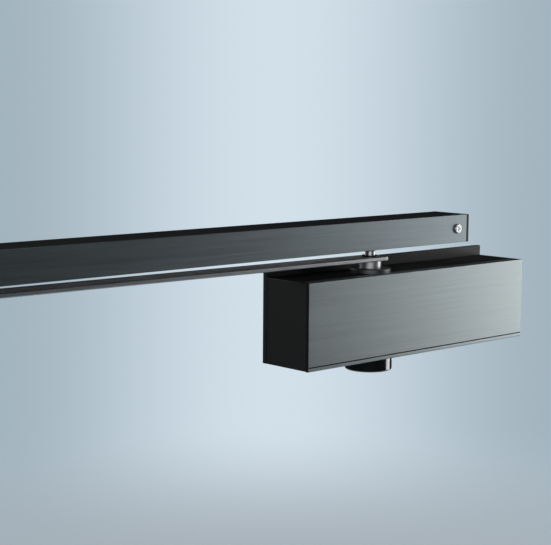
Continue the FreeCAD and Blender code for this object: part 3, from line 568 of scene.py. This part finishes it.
def nitrile_rubber(name, tint):
    """Nitrile rubber: dull black with a faint bloom."""
    material, tree, shader = new_material(name)
    bloom = grain(tree, 3 * MM, 3.0)
    tree.links.new(shade(tree, bloom, tint, 0.8, 1.35), shader.inputs["Base Color"])
    tree.links.new(spread(tree, bloom, 0.62, 0.78), shader.inputs["Roughness"])
    return material


def acetal(name, tint):
    """Acetal, as moulded: waxy, slightly see-through near the surface."""
    material, tree, shader = new_material(name)
    wax = grain(tree, 4 * MM)
    tree.links.new(shade(tree, wax, tint, 0.95, 1.04), shader.inputs["Base Color"])
    tree.links.new(spread(tree, wax, 0.32, 0.42), shader.inputs["Roughness"])
    shader.inputs["Subsurface Weight"].default_value = 0.12
    shader.inputs["Subsurface Radius"].default_value = (0.002, 0.002, 0.002)
    return material


def finishes():
    """Every finish of the closer by a short name, made once."""
    tints = bpy.context.scene.closer_colours
    recipes = {
        "cover": ("Brushed anodised aluminium", brushed_dark_metal, tints.gunmetal),
        # the trim's darker tint is painted shade
        "trim": ("Brushed anodised trim", brushed_dark_metal, tints.trim_gunmetal_shaded),
        "coat": ("Black powder coat", powder_coat, tints.black_coat),
        "black": ("Black anodised aluminium", black_anodising, tints.black_anodised),
        "plastic": ("Moulded ABS", moulded_abs, tints.black_plastic),
        "gloss": ("Polished ABS", polished_abs, tints.black_plastic),
        "phosphate": ("Phosphated steel", phosphated_steel, tints.phosphate),
        "steel": ("Ground steel", ground_steel, tints.steel),
        "nickel": ("Dark nickel plate", brushed_dark_metal, tints.arm_nickel),
        "zinc": ("Bright zinc plate", zinc_plate, tints.zinc),
        "bronze": ("Sintered bronze", sintered_bronze, tints.bronze),
        "rubber": ("Nitrile rubber", nitrile_rubber, tints.rubber),
        "acetal": ("Acetal", acetal, tints.acetal),
    }
    made = {}
    for key, (name, recipe, tint) in recipes.items():
        made[key] = bpy.data.materials.get(name) or recipe(name, tuple(tint))
    return made


# ---------------------------------------------------------------- pieces of the closer body


class CLOSER_OT_front_cover(bpy.types.Operator):
    """Brushed front cover with its shadow groove, lip and hooks"""

    bl_idname = "closer.front_cover"
    bl_label = "Front cover"

    def execute(self, context):
        sizes = context.scene.closer_sizes
        low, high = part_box("front_cover")
        cap_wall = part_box("housing")[0].x - low.x
        wall_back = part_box("housing")[0].y
        lip, groove, hook = sizes.lip_height, sizes.groove_height, sizes.hook_thick
        cover = block("cover", low, (high.x, wall_back, high.z))
        for z in (low.z + lip, low.z + lip + groove, low.z + hook, high.z - hook):
            slice_mesh(cover, (0, 0, z), (0, 0, 1))
        for x in (low.x + cap_wall, high.x - cap_wall):
            slice_mesh(cover, (x, 0, 0), (1, 0, 0))
        middle = low.z + lip + groove / 2
        push_faces(
            cover,
            lambda centre, normal: normal.y < -0.9 and near(centre.z, middle, groove / 2),
            (0, sizes.groove_depth, 0),
        )
        push_faces(
            cover,
            lambda centre, normal: normal.y > 0.9
            and abs(centre.x) < high.x - cap_wall
            and (centre.z < low.z + hook or centre.z > high.z - hook),
            (0, high.y - wall_back, 0),
        )
        for z in (low.z, high.z):
            round_edges(
                cover,
                lambda a, b: both_near(a, b, 1, low.y) and both_near(a, b, 2, z),
                sizes.cover_edge,
            )
        for x in (low.x, high.x):
            round_edges(
                cover,
                lambda a, b: both_near(a, b, 1, low.y) and both_near(a, b, 0, x),
                sizes.cover_edge / 2,
                2,
            )
        soften(cover)
        hand_over(cover, "closer_body", "brushed_gunmetal", finishes()["cover"], "front_cover")
        # painted shade: the groove and the cover's sawn ends lie in shade, so they are given the
        # black finish
        in_groove = groove * 0.51
        paint_shade_on_faces(
            cover,
            finishes()["black"],
            lambda centre, normal: abs(normal.x) > 0.9
            or (
                low.y + 0.1 * MM < centre.y < low.y + lip
                and abs(centre.z - middle) <= in_groove
            ),
        )
        return {"FINISHED"}


class CLOSER_OT_end_caps(bpy.types.Operator):
    """Moulded end caps with a sunk panel and their locating pegs"""

    bl_idname = "closer.end_caps"
    bl_label = "End caps"

    def execute(self, context):
        sizes = context.scene.closer_sizes
        housing_low, housing_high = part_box("housing")
        for side, node in ((-1, "end_cap_left"), (1, "end_cap_right")):
            low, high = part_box(node)
            inner = housing_low.x if side < 0 else housing_high.x
            outer = low.x if side < 0 else high.x
            wall_low = Vector((min(inner, outer), low.y, low.z))
            wall_high = Vector((max(inner, outer), high.y, high.z))
            cap = block(node.replace("end_cap_", "body_cap_"), wall_low, wall_high)
            sink_panel(
                cap,
                lambda centre, normal: normal.x * side > 0.9,
                sizes.cap_border,
                (-side * sizes.cap_panel, 0, 0),
            )
            round_edges(cap, lambda a, b: both_near(a, b, 0, outer), sizes.cap_edge)
            pegs = []
            reach = (high.x - low.x) - (wall_high.x - wall_low.x)
            start = inner if side < 0 else inner - reach
            inset = 5 * MM
            for y in (housing_low.y + 2 * inset, housing_high.y - inset):
                for z in (housing_low.z + inset, housing_high.z - inset):
                    pegs.append(round_bar("peg", sizes.peg_radius, (start, y, z), reach, "X", 32))
            unite(cap, *pegs)
            soften(cap)
            hand_over(cap, "closer_body", "black_plastic", finishes()["plastic"], node)
        return {"FINISHED"}


class CLOSER_OT_mounting_plate(bpy.types.Operator):
    """Powder-coated mounting plate with countersunk and tapped holes"""

    bl_idname = "closer.mounting_plate"
    bl_label = "Mounting plate"

    def execute(self, context):
        sizes = context.scene.closer_sizes
        low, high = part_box("mounting_plate")
        plate = block("plate", low, high)
        round_edges(plate, lambda a, b: True, sizes.plate_edge, 2)
        dims = next(m["dims"] for m in frame["record"]["mounts"] if m["name"] == "door_holes")
        half_x, half_z = dims["spacing_x_mm"] / 2 * MM, dims["spacing_y_mm"] / 2 * MM
        hole = dims["hole_r_mm"] * MM
        sink = sizes.door_sink
        proud = 0.01 * MM
        reach = high.y - low.y + 2 * MM
        for x in (-half_x, half_x):
            for z in (-half_z, half_z):
                drill(plate, hole, (x, low.y - MM, z), reach, "Y", 48)
                start = (x, low.y - proud, z)
                tool = round_bar("sink", sink + proud, start, sink - hole, "Y", 48, end_radius=hole)
                carve(plate, tool)
        screw_low, screw_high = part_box("housing_screws")
        head = sizes.housing_screw_head
        for x in (screw_low.x + head, screw_high.x - head):
            for z in (screw_low.z + head, screw_high.z - head):
                drill(plate, sizes.housing_screw_hole, (x, low.y - MM, z), reach, "Y", 48)
        soften(plate)
        hand_over(plate, "closer_body", "black_metal", finishes()["coat"], "mounting_plate")
        return {"FINISHED"}


class CLOSER_OT_spindle_covers(bpy.types.Operator):
    """Bearing flange above the body and the round cap below it"""

    bl_idname = "closer.spindle_covers"
    bl_label = "Flange and lower cap"

    def execute(self, context):
        sizes = context.scene.closer_sizes
        self.flange(sizes, "upper_retainer", "upper_flange", 1)
        self.flange(sizes, "lower_retainer", "lower_flange", -1)
        self.lower_cap(sizes)
        return {"FINISHED"}

    def flange(self, sizes, node, name, side):
        """A ring with a rounded rim, a threaded neck and two spanner holes."""
        low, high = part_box(node)
        centre = middle_of(node)
        radius = half_width(node)
        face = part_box("housing")[1].z * side
        outer = high.z if side > 0 else low.z
        rim = abs(outer - face)
        ring = round_bar(name, radius, (centre.x, centre.y, min(face, outer)), rim)
        round_edges(ring, lambda a, b: both_near(a, b, 2, outer), sizes.flange_edge, 4)
        bore, below, reach = sizes.flange_bore, low.z - MM, high.z - low.z + 2 * MM
        drill(ring, bore, (centre.x, centre.y, below), reach)
        neck_low = low.z if side > 0 else face
        neck_start = (centre.x, centre.y, neck_low)
        sleeve = round_bar("neck", sizes.flange_neck, neck_start, (high.z - low.z) - rim)
        drill(sleeve, bore, (centre.x, centre.y, below), reach)
        spanner = sizes.spanner_hole
        for turn in (math.radians(20), math.radians(200)):
            spot = Vector((math.cos(turn), math.sin(turn), 0)) * (bore + radius) / 2
            start = Vector((centre.x, centre.y, outer)) + spot - Vector((0, 0, spanner))
            drill(ring, spanner, start, 2 * spanner, sides=32)
        unite(ring, sleeve)
        soften(ring)
        hand_over(ring, "closer_body", "black_metal", finishes()["phosphate"], node)

    def lower_cap(self, sizes):
        """A pushed-on round cap with a shallow dish in its underside."""
        low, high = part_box("lower_cap")
        middle = middle_of("lower_cap")
        radius = half_width("lower_cap")
        height = high.z - low.z
        cap = round_bar("lower_round_cap", radius, (middle.x, middle.y, low.z), height, sides=128)
        round_edges(cap, lambda a, b: both_near(a, b, 2, low.z), sizes.lower_cap_edge, 4)
        sink_panel(
            cap,
            lambda centre, normal: normal.z < -0.9,
            sizes.lower_cap_border,
            (0, 0, sizes.lower_cap_dish),
        )
        inner_floor = (middle.x, middle.y, low.z + sizes.lower_cap_floor)
        drill(cap, half_width("lower_retainer"), inner_floor, height)
        soften(cap)
        hand_over(cap, "closer_body", "black_plastic", finishes()["gloss"], "lower_cap")


# ---------------------------------------------------------------- arm


class CLOSER_OT_arm(bpy.types.Operator):
    """Flat arm with a square drive hole at one end and the pin hole at its round end"""

    bl_idname = "closer.arm"
    bl_label = "Arm"

    def execute(self, context):
        sizes = context.scene.closer_sizes
        spindle = middle_of("upper_retainer")
        pin = middle_of("slider_pin")
        low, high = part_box("arm")
        run = Vector((pin.x - spindle.x, pin.y - spindle.y, 0))
        half, tail = sizes.arm_half_width, sizes.arm_tail
        thick = high.z - low.z
        arm = self.bar(run.length, half, tail, thick)
        round_edges(
            arm,
            lambda a, b: both_near(a, b, 0, -tail) and near(a.y, b.y) and not near(a.z, b.z),
            sizes.arm_corner,
            4,
        )
        round_edges(
            arm,
            lambda a, b: both_near(a, b, 2, 0) or both_near(a, b, 2, thick),
            sizes.arm_edge,
            4,
        )
        drive = sizes.drive_half
        carve(arm, block("drive", (-drive, -drive, -MM), (drive, drive, thick + MM)))
        drill(arm, sizes.pin_hole, (run.length, 0, -MM), thick + 2 * MM)
        arm.rotation_euler = (0, 0, math.atan2(run.y, run.x))
        arm.location = (spindle.x, spindle.y, low.z)
        settle(arm)
        soften(arm)
        hand_over(arm, "spindle_arm", "arm_steel", finishes()["nickel"], "arm")
        return {"FINISHED"}

    def bar(self, reach, half, tail, thick):
        """The bar's outline drawn flat, a half circle and two sides, then given its thickness."""
        deselect()
        bpy.ops.mesh.primitive_circle_add(vertices=96, radius=half, fill_type="NOTHING")
        bar = bpy.context.object
        bar.name = "flat_arm"
        select(bar)
        bpy.ops.object.mode_set(mode="EDIT")
        bpy.ops.mesh.select_all(action="SELECT")
        bpy.ops.mesh.bisect(plane_co=(0, 0, 0), plane_no=(1, 0, 0), clear_inner=True)
        done()
        bar.location = (reach, 0, 0)
        settle(bar)
        pick(bar, "VERT", lambda place: near(place.x, reach))
        bpy.ops.mesh.extrude_vertices_move(TRANSFORM_OT_translate={"value": (-reach - tail, 0, 0)})
        bpy.ops.mesh.edge_face_add()
        bpy.ops.mesh.select_all(action="SELECT")
        bpy.ops.mesh.edge_face_add()
        bpy.ops.mesh.extrude_region_move(TRANSFORM_OT_translate={"value": (0, 0, thick)})
        bpy.ops.mesh.select_all(action="SELECT")
        bpy.ops.mesh.remove_doubles(threshold=0.001 * MM)
        bpy.ops.mesh.normals_make_consistent(inside=False)
        done()
        return bar


class CLOSER_OT_arm_screw(bpy.types.Operator):
    """Socket screw and washer that hold the arm on the spindle"""

    bl_idname = "closer.arm_screw"
    bl_label = "Arm screw and washer"

    def execute(self, context):
        sizes = context.scene.closer_sizes
        low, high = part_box("arm_screw")
        washer_low, washer_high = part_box("arm_washer")
        centre = middle_of("arm_screw")
        seat = washer_high.z
        head_start = (centre.x, centre.y, seat)
        head = round_bar("arm_socket_screw", half_width("arm_screw"), head_start, high.z - seat)
        round_edges(head, lambda a, b: both_near(a, b, 2, high.z), sizes.arm_screw_edge)
        socket_floor = (centre.x, centre.y, high.z - 2 * MM)
        drill(head, sizes.arm_screw_socket, socket_floor, 3 * MM, sides=6)
        shank_start = (centre.x, centre.y, low.z)
        shank = round_bar("shank", sizes.arm_screw_shank, shank_start, seat - low.z, sides=48)
        unite(head, shank)
        soften(head)
        hand_over(head, "spindle_arm", "bright_screw", finishes()["zinc"], "arm_screw")
        start = (centre.x, centre.y, washer_low.z)
        thick = seat - washer_low.z
        washer = round_bar("arm_flat_washer", half_width("arm_washer"), start, thick)
        round_edges(washer, lambda a, b: both_near(a, b, 2, seat), sizes.washer_edge, 2)
        drill(washer, sizes.washer_hole, (centre.x, centre.y, washer_low.z - MM), thick + 2 * MM)
        soften(washer)
        hand_over(washer, "spindle_arm", "black_metal", finishes()["coat"], "arm_washer")
        return {"FINISHED"}


# ---------------------------------------------------------------- guide rail


class CLOSER_OT_rail(bpy.types.Operator):
    """Extruded rail channel, open along its slot below, and its brushed front trim"""

    bl_idname = "closer.rail"
    bl_label = "Guide rail"

    def execute(self, context):
        sizes = context.scene.closer_sizes
        self.channel(sizes)
        self.trim(sizes)
        return {"FINISHED"}

    def channel(self, sizes):
        """A closed box section, hollowed and slotted below."""
        low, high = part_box("rail_channel")
        wall, slot = sizes.rail_wall, sizes.rail_slot
        middle = (low.y + high.y) / 2
        channel = block("channel", low, high)
        round_edges(
            channel,
            lambda a, b: not near(a.x, b.x),
            sizes.rail_edge,
        )
        inside = block(
            "inside",
            (low.x - MM, low.y + wall, low.z + wall),
            (high.x + MM, high.y - wall, high.z - wall),
        )
        carve(channel, inside)
        opening = block(
            "opening",
            (low.x - MM, middle - slot / 2, low.z - MM),
            (high.x + MM, middle + slot / 2, low.z + wall + 0.1 * MM),
        )
        carve(channel, opening)
        z = (low.z + high.z) / 2
        reach = high.y - low.y + 2 * MM
        for x in rail_screw_places():
            drill(channel, sizes.rail_screw_hole, (x, low.y - MM, z), reach, "Y", 48)
        soften(channel)
        hand_over(channel, "rail", "black_anodised", finishes()["black"], "rail_channel")

    def trim(self, sizes):
        """The brushed strip on the front of the rail."""
        low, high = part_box("rail_trim")
        trim = block("trim", low, high)
        round_edges(
            trim,
            lambda a, b: both_near(a, b, 1, low.y) and not near(a.x, b.x),
            sizes.trim_edge,
        )
        z = (low.z + high.z) / 2
        reach = high.y - low.y + 2 * MM
        for x in rail_screw_places():
            drill(trim, sizes.rail_screw_hole, (x, low.y - MM, z), reach, "Y", 48)
        soften(trim)
        hand_over(trim, "rail", "brushed_gunmetal", finishes()["trim"], "rail_trim")


class CLOSER_OT_rail_caps(bpy.types.Operator):
    """Moulded caps on both ends of the rail"""

    bl_idname = "closer.rail_caps"
    bl_label = "Rail end caps"

    def execute(self, context):
        sizes = context.scene.closer_sizes
        edge, wall = sizes.rail_cap_edge, sizes.rail_wall
        channel_low, channel_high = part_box("rail_channel")
        for side, node in ((-1, "rail_end_cap_left"), (1, "rail_end_cap_right")):
            low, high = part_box(node)
            inner = channel_low.x if side < 0 else channel_high.x
            outer = low.x if side < 0 else high.x
            cap = block(
                node.replace("end_cap", "cap"),
                (min(inner, outer), low.y, low.z),
                (max(inner, outer), high.y, high.z),
            )
            round_edges(cap, lambda a, b: both_near(a, b, 0, outer), edge)
            far = high.x if side < 0 else low.x
            plug = block(
                "plug",
                (min(inner, far), channel_low.y + wall, low.z + wall),
                (max(inner, far), channel_high.y - wall, high.z - wall),
            )
            round_edges(plug, lambda a, b: both_near(a, b, 0, far), edge, 2)
            unite(cap, plug)
            soften(cap)
            hand_over(cap, "rail", "black_plastic", finishes()["plastic"], node)
        return {"FINISHED"}


class CLOSER_OT_rail_screws(bpy.types.Operator):
    """Cross-slotted rail screws with a rolled thread behind the rail"""

    bl_idname = "closer.rail_screws"
    bl_label = "Rail screws"

    def execute(self, context):
        sizes = context.scene.closer_sizes
        low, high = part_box("rail_screws")
        centre_z = (low.z + high.z) / 2
        places = rail_screw_places()
        radius = (high.z - low.z) / 2
        first = self.screw(sizes, places[0], low.y, high.y, centre_z, radius)
        select(first)
        bpy.ops.object.duplicate(linked=False)
        second = bpy.context.object
        second.location.x = places[1] - places[0]
        settle(second)
        for piece, name in ((first, "rail_screw_left"), (second, "rail_screw_right")):
            piece.name = name
            hand_over(piece, "rail", "bright_screw", finishes()["zinc"], "rail_screws")
        return {"FINISHED"}

    def screw(self, sizes, x, front, back, z, radius):
        """One screw: pan head with a cross recess, plain shank and threaded end."""
        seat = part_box("rail_trim")[0].y
        head = round_bar("rail_screw", radius, (x, front, z), seat - front, "Y", 64)
        round_edges(head, lambda a, b: both_near(a, b, 1, front), sizes.screw_head_edge, 6)
        half, reach = sizes.cross_half, sizes.cross_reach
        floor = front + sizes.cross_depth
        for across, up in ((reach, half), (half, reach)):
            corners = (x - across, front - MM, z - up), (x + across, floor, z + up)
            carve(head, block("cross", *corners))
        shank = round_bar("shank", sizes.screw_shank, (x, seat, z), -seat, "Y", 48)
        core_radius = sizes.screw_thread - sizes.thread_depth
        shoulder = back - sizes.screw_tip
        core = round_bar("core", core_radius, (x, 0, z), shoulder, "Y", 48)
        tip_end = sizes.screw_tip_radius
        tip = round_bar("tip", core_radius, (x, shoulder, z), sizes.screw_tip, "Y", 48, tip_end)
        thread = self.thread(sizes, x, z, core_radius, shoulder - 0.5 * MM)
        unite(head, shank, core, tip, thread)
        return soften(head)

    def thread(self, sizes, x, z, core_radius, reach):
        """A three-sided ridge wound round the core."""
        pitch = sizes.thread_pitch
        turns = max(1, int((reach - pitch) / pitch))
        # the ridge is rooted in the core, so it is a little larger than the depth that shows
        ridge_size = sizes.thread_depth * 1.1
        middle = core_radius + sizes.thread_depth * 0.35
        ridge = wound("thread", ridge_size, middle, pitch, turns, 3, 24)
        ridge.rotation_euler = TURN["Y"]
        ridge.location = (x, pitch / 2, z)
        return settle(ridge)


# ---------------------------------------------------------------- parts taken over from the frame

CARRIED_OVER = {
    "black": ("housing",),
    "steel": (
        "bore_plug_left",
        "bore_plug_right",
        "spring_seat",
        "housing_screws",
        "piston",
        "check_ball",
        "check_retainer",
        "pinion_shaft",
        "slider_pin",
        "pin_clip",
    ),
    "bronze": ("upper_bush", "lower_bush", "sweep_valve", "latch_valve", "slider_bush"),
    "rubber": ("plug_rings", "upper_seal", "lower_seal", "piston_seals", "rail_stops"),
    "acetal": ("slider_block",),
}


class CLOSER_OT_inner_parts(bpy.types.Operator):
    """Finishes for the parts whose shape is taken over as it is"""

    bl_idname = "closer.inner_parts"
    bl_label = "Inner parts"

    def execute(self, context):
        made = finishes()
        for key, nodes in CARRIED_OVER.items():
            for node in nodes:
                part = frame["nodes"][node]
                part.data.materials.clear()
                part.data.materials.append(made[key])
        return {"FINISHED"}


class CLOSER_OT_closing_spring(bpy.types.Operator):
    """Closing spring wound from round wire at the length of its packed part; the real one shortens
    towards its seat as the piston moves
    """

    bl_idname = "closer.closing_spring"
    bl_label = "Closing spring"

    def execute(self, context):
        low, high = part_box("closing_spring")
        middle = middle_of("closing_spring")
        wire, turns = 1.6 * MM, 14
        outer = (high.z - low.z) / 2
        pitch = (high.x - low.x - 2 * wire) / turns
        spring = wound("wound_spring", wire, outer - wire, pitch, turns, 16, 48)
        spring.rotation_euler = TURN["X"]
        spring.location = (low.x + wire, middle.y, middle.z)
        settle(spring)
        soften(spring)
        hand_over(spring, "closer_body", "plain_steel", finishes()["steel"], "closing_spring")
        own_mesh(spring)
        return {"FINISHED"}


# ---------------------------------------------------------------- stage


class CLOSER_OT_stage(bpy.types.Operator):
    """Pale floor, soft light and the camera"""

    bl_idname = "closer.stage"
    bl_label = "Stage"

    def execute(self, context):
        tint = tuple(context.scene.closer_colours.backdrop)
        self.floor(tint)
        self.surroundings(context.scene, tint, tuple(context.scene.closer_colours.backdrop_shade))
        self.lights()
        self.camera(context.scene)
        context.scene.view_settings.view_transform = "Standard"
        return {"FINISHED"}

    def floor(self, tint):
        """A round pale floor under the closer that fades out into the surroundings."""
        radius, depth = 2.0, 0.45
        deselect()
        bpy.ops.mesh.primitive_circle_add(
            vertices=96, radius=radius, fill_type="NGON", location=(0, 0, -depth)
        )
        floor = bpy.context.object
        floor.name = "floor"
        material, tree, shader = new_material("Pale floor")
        shader.inputs["Base Color"].default_value = (*tint, 1)
        shader.inputs["Roughness"].default_value = 0.9
        shader.inputs["Specular IOR Level"].default_value = 0.1
        clear = add(tree, "ShaderNodeBsdfTransparent")
        place = add(tree, "ShaderNodeTexCoord")
        distance = add(tree, "ShaderNodeVectorMath", operation="LENGTH")
        tree.links.new(place.outputs["Object"], distance.inputs[0])
        solid, gone = 0.7, 1.6
        fade_inputs = {"Value": distance.outputs["Value"], "From Min": solid, "From Max": gone}
        fade = add(tree, "ShaderNodeMapRange", fade_inputs, interpolation_type="SMOOTHSTEP")
        mixed = add(tree, "ShaderNodeMixShader", {0: fade.outputs["Result"]})
        tree.links.new(shader.outputs["BSDF"], mixed.inputs[1])
        tree.links.new(clear.outputs["BSDF"], mixed.inputs[2])
        output = next(n for n in tree.nodes if n.type == "OUTPUT_MATERIAL")
        tree.links.new(mixed.outputs["Shader"], output.inputs["Surface"])
        floor.data.materials.append(material)

    def surroundings(self, scene, tint, shade_tint):
        """Pale to the eye, and a dim even room in reflections, so the lamps shape the metal."""
        world = bpy.data.worlds.new("Studio")
        scene.world = world
        world.use_nodes = True
        tree = world.node_tree
        tree.nodes.clear()
        place = add(tree, "ShaderNodeTexCoord")
        # a level direction across the pale band of wall behind the closer
        sideways = (0.733, -0.680, 0.0)
        across = add(tree, "ShaderNodeVectorMath", {1: sideways}, operation="DOT_PRODUCT")
        tree.links.new(place.outputs["Generated"], across.inputs[0])
        aside = add(tree, "ShaderNodeMath", {0: across.outputs["Value"]}, operation="ABSOLUTE")
        dim_inputs = {"Value": aside.outputs["Value"], "From Min": 0.0, "From Max": 0.2}
        dim = add(tree, "ShaderNodeMapRange", dim_inputs, interpolation_type="SMOOTHSTEP")
        # the mix node's sockets by place: 0 is its factor, 6 and 7 its two colours, 2 the result
        colours = {0: dim.outputs["Result"], 6: (*tint, 1), 7: (*shade_tint, 1)}
        wall = add(tree, "ShaderNodeMix", colours, data_type="RGBA")
        seen = add(tree, "ShaderNodeBackground", {"Color": wall.outputs[2], "Strength": 1.0})
        daylight = (0.80, 0.88, 1.0, 1)
        room = add(tree, "ShaderNodeBackground", {"Color": daylight, "Strength": 0.03})
        path = add(tree, "ShaderNodeLightPath")
        mixed = add(tree, "ShaderNodeMixShader", {0: path.outputs["Is Camera Ray"]})
        tree.links.new(room.outputs["Background"], mixed.inputs[1])
        tree.links.new(seen.outputs["Background"], mixed.inputs[2])
        add(tree, "ShaderNodeOutputWorld", {"Surface": mixed.outputs["Shader"]})

    def lights(self):
        """Five soft panels: where each stands, what it faces, its width, height and watts."""
        lamps = {
            "key_panel": ((1.8, -0.80, 0.2), (0.0, -0.04, 0.0), 1.05, 1.6, 20.0),
            "front_fill": ((-1.5, -1.6, 0.3), (-0.05, -0.03, 0.03), 2.4, 0.8, 12.0),
            "top_panel": ((-0.1, 0.1, 1.9), (-0.1, 0.0, 0.0), 1.8, 1.4, 11.0),
            "back_panel": ((-0.9, 1.8, 0.7), (-0.1, 0.0, 0.0), 1.6, 1.2, 14.0),
            "rear_panel": ((1.6, 1.6, -0.25), (-0.1, 0.0, 0.0), 1.6, 0.4, 22.0),
        }
        for name, (spot, aim, width, height, watts) in lamps.items():
            deselect()
            bpy.ops.object.light_add(type="AREA", location=spot)
            lamp = bpy.context.object
            lamp.name = name
            lamp.data.shape = "RECTANGLE"
            lamp.data.size = width
            lamp.data.size_y = height
            lamp.data.energy = watts
            lamp.visible_camera = False
            direction = Vector(aim) - Vector(spot)
            lamp.rotation_euler = direction.to_track_quat("-Z", "Y").to_euler()

    def camera(self, scene):
        """To the left of the closer and a little above it, at the eye height of someone near."""
        deselect()
        turn, dip, roll = math.radians(42.847), math.radians(7.015), math.radians(0.451)
        bpy.ops.object.camera_add(location=(-0.75816, -0.70644, 0.15076))
        camera = bpy.context.object
        camera.name = "camera"
        aim = Euler((0, 0, roll)).to_quaternion()
        aim.rotate(Euler((math.pi / 2 - dip, 0, -turn)))
        camera.rotation_euler = aim.to_euler()
        camera.data.sensor_width = 36
        camera.data.lens = 91.81
        camera.data.clip_start = 0.01
        scene.camera = camera


# ---------------------------------------------------------------- the add-on


class CLOSER_PT_panel(bpy.types.Panel):
    """Sidebar panel with every step"""

    bl_idname = "CLOSER_PT_panel"
    bl_label = "Door closer"
    bl_space_type = "VIEW_3D"
    bl_region_type = "UI"
    bl_category = "Closer"

    def draw(self, context):
        column = self.layout.column()
        for step in STEPS:
            column.operator(step.bl_idname)
        for group in (context.scene.closer_sizes, context.scene.closer_colours):
            for name in group.bl_rna.properties.keys():
                if name not in ("rna_type", "name"):
                    column.prop(group, name)


STEPS = (
    CLOSER_OT_stage,
    CLOSER_OT_inner_parts,
    CLOSER_OT_closing_spring,
    CLOSER_OT_front_cover,
    CLOSER_OT_end_caps,
    CLOSER_OT_mounting_plate,
    CLOSER_OT_spindle_covers,
    CLOSER_OT_arm,
    CLOSER_OT_arm_screw,
    CLOSER_OT_rail,
    CLOSER_OT_rail_caps,
    CLOSER_OT_rail_screws,
)

CLASSES = (CloserSizes, CloserColours, *STEPS, CLOSER_PT_panel)


def register():
    """Makes the add-on's classes and settings known."""
    for item in CLASSES:
        bpy.utils.register_class(item)
    bpy.types.Scene.closer_sizes = bpy.props.PointerProperty(type=CloserSizes)
    bpy.types.Scene.closer_colours = bpy.props.PointerProperty(type=CloserColours)


def unregister():
    """Takes the add-on's classes and settings away."""
    del bpy.types.Scene.closer_colours
    del bpy.types.Scene.closer_sizes
    for item in reversed(CLASSES):
        bpy.utils.unregister_class(item)


def main():
    """Builds every step in order."""
    register()
    for step in STEPS:
        group, name = step.bl_idname.split(".")
        getattr(getattr(bpy.ops, group), name)()


if __name__ == "__main__":
    main()
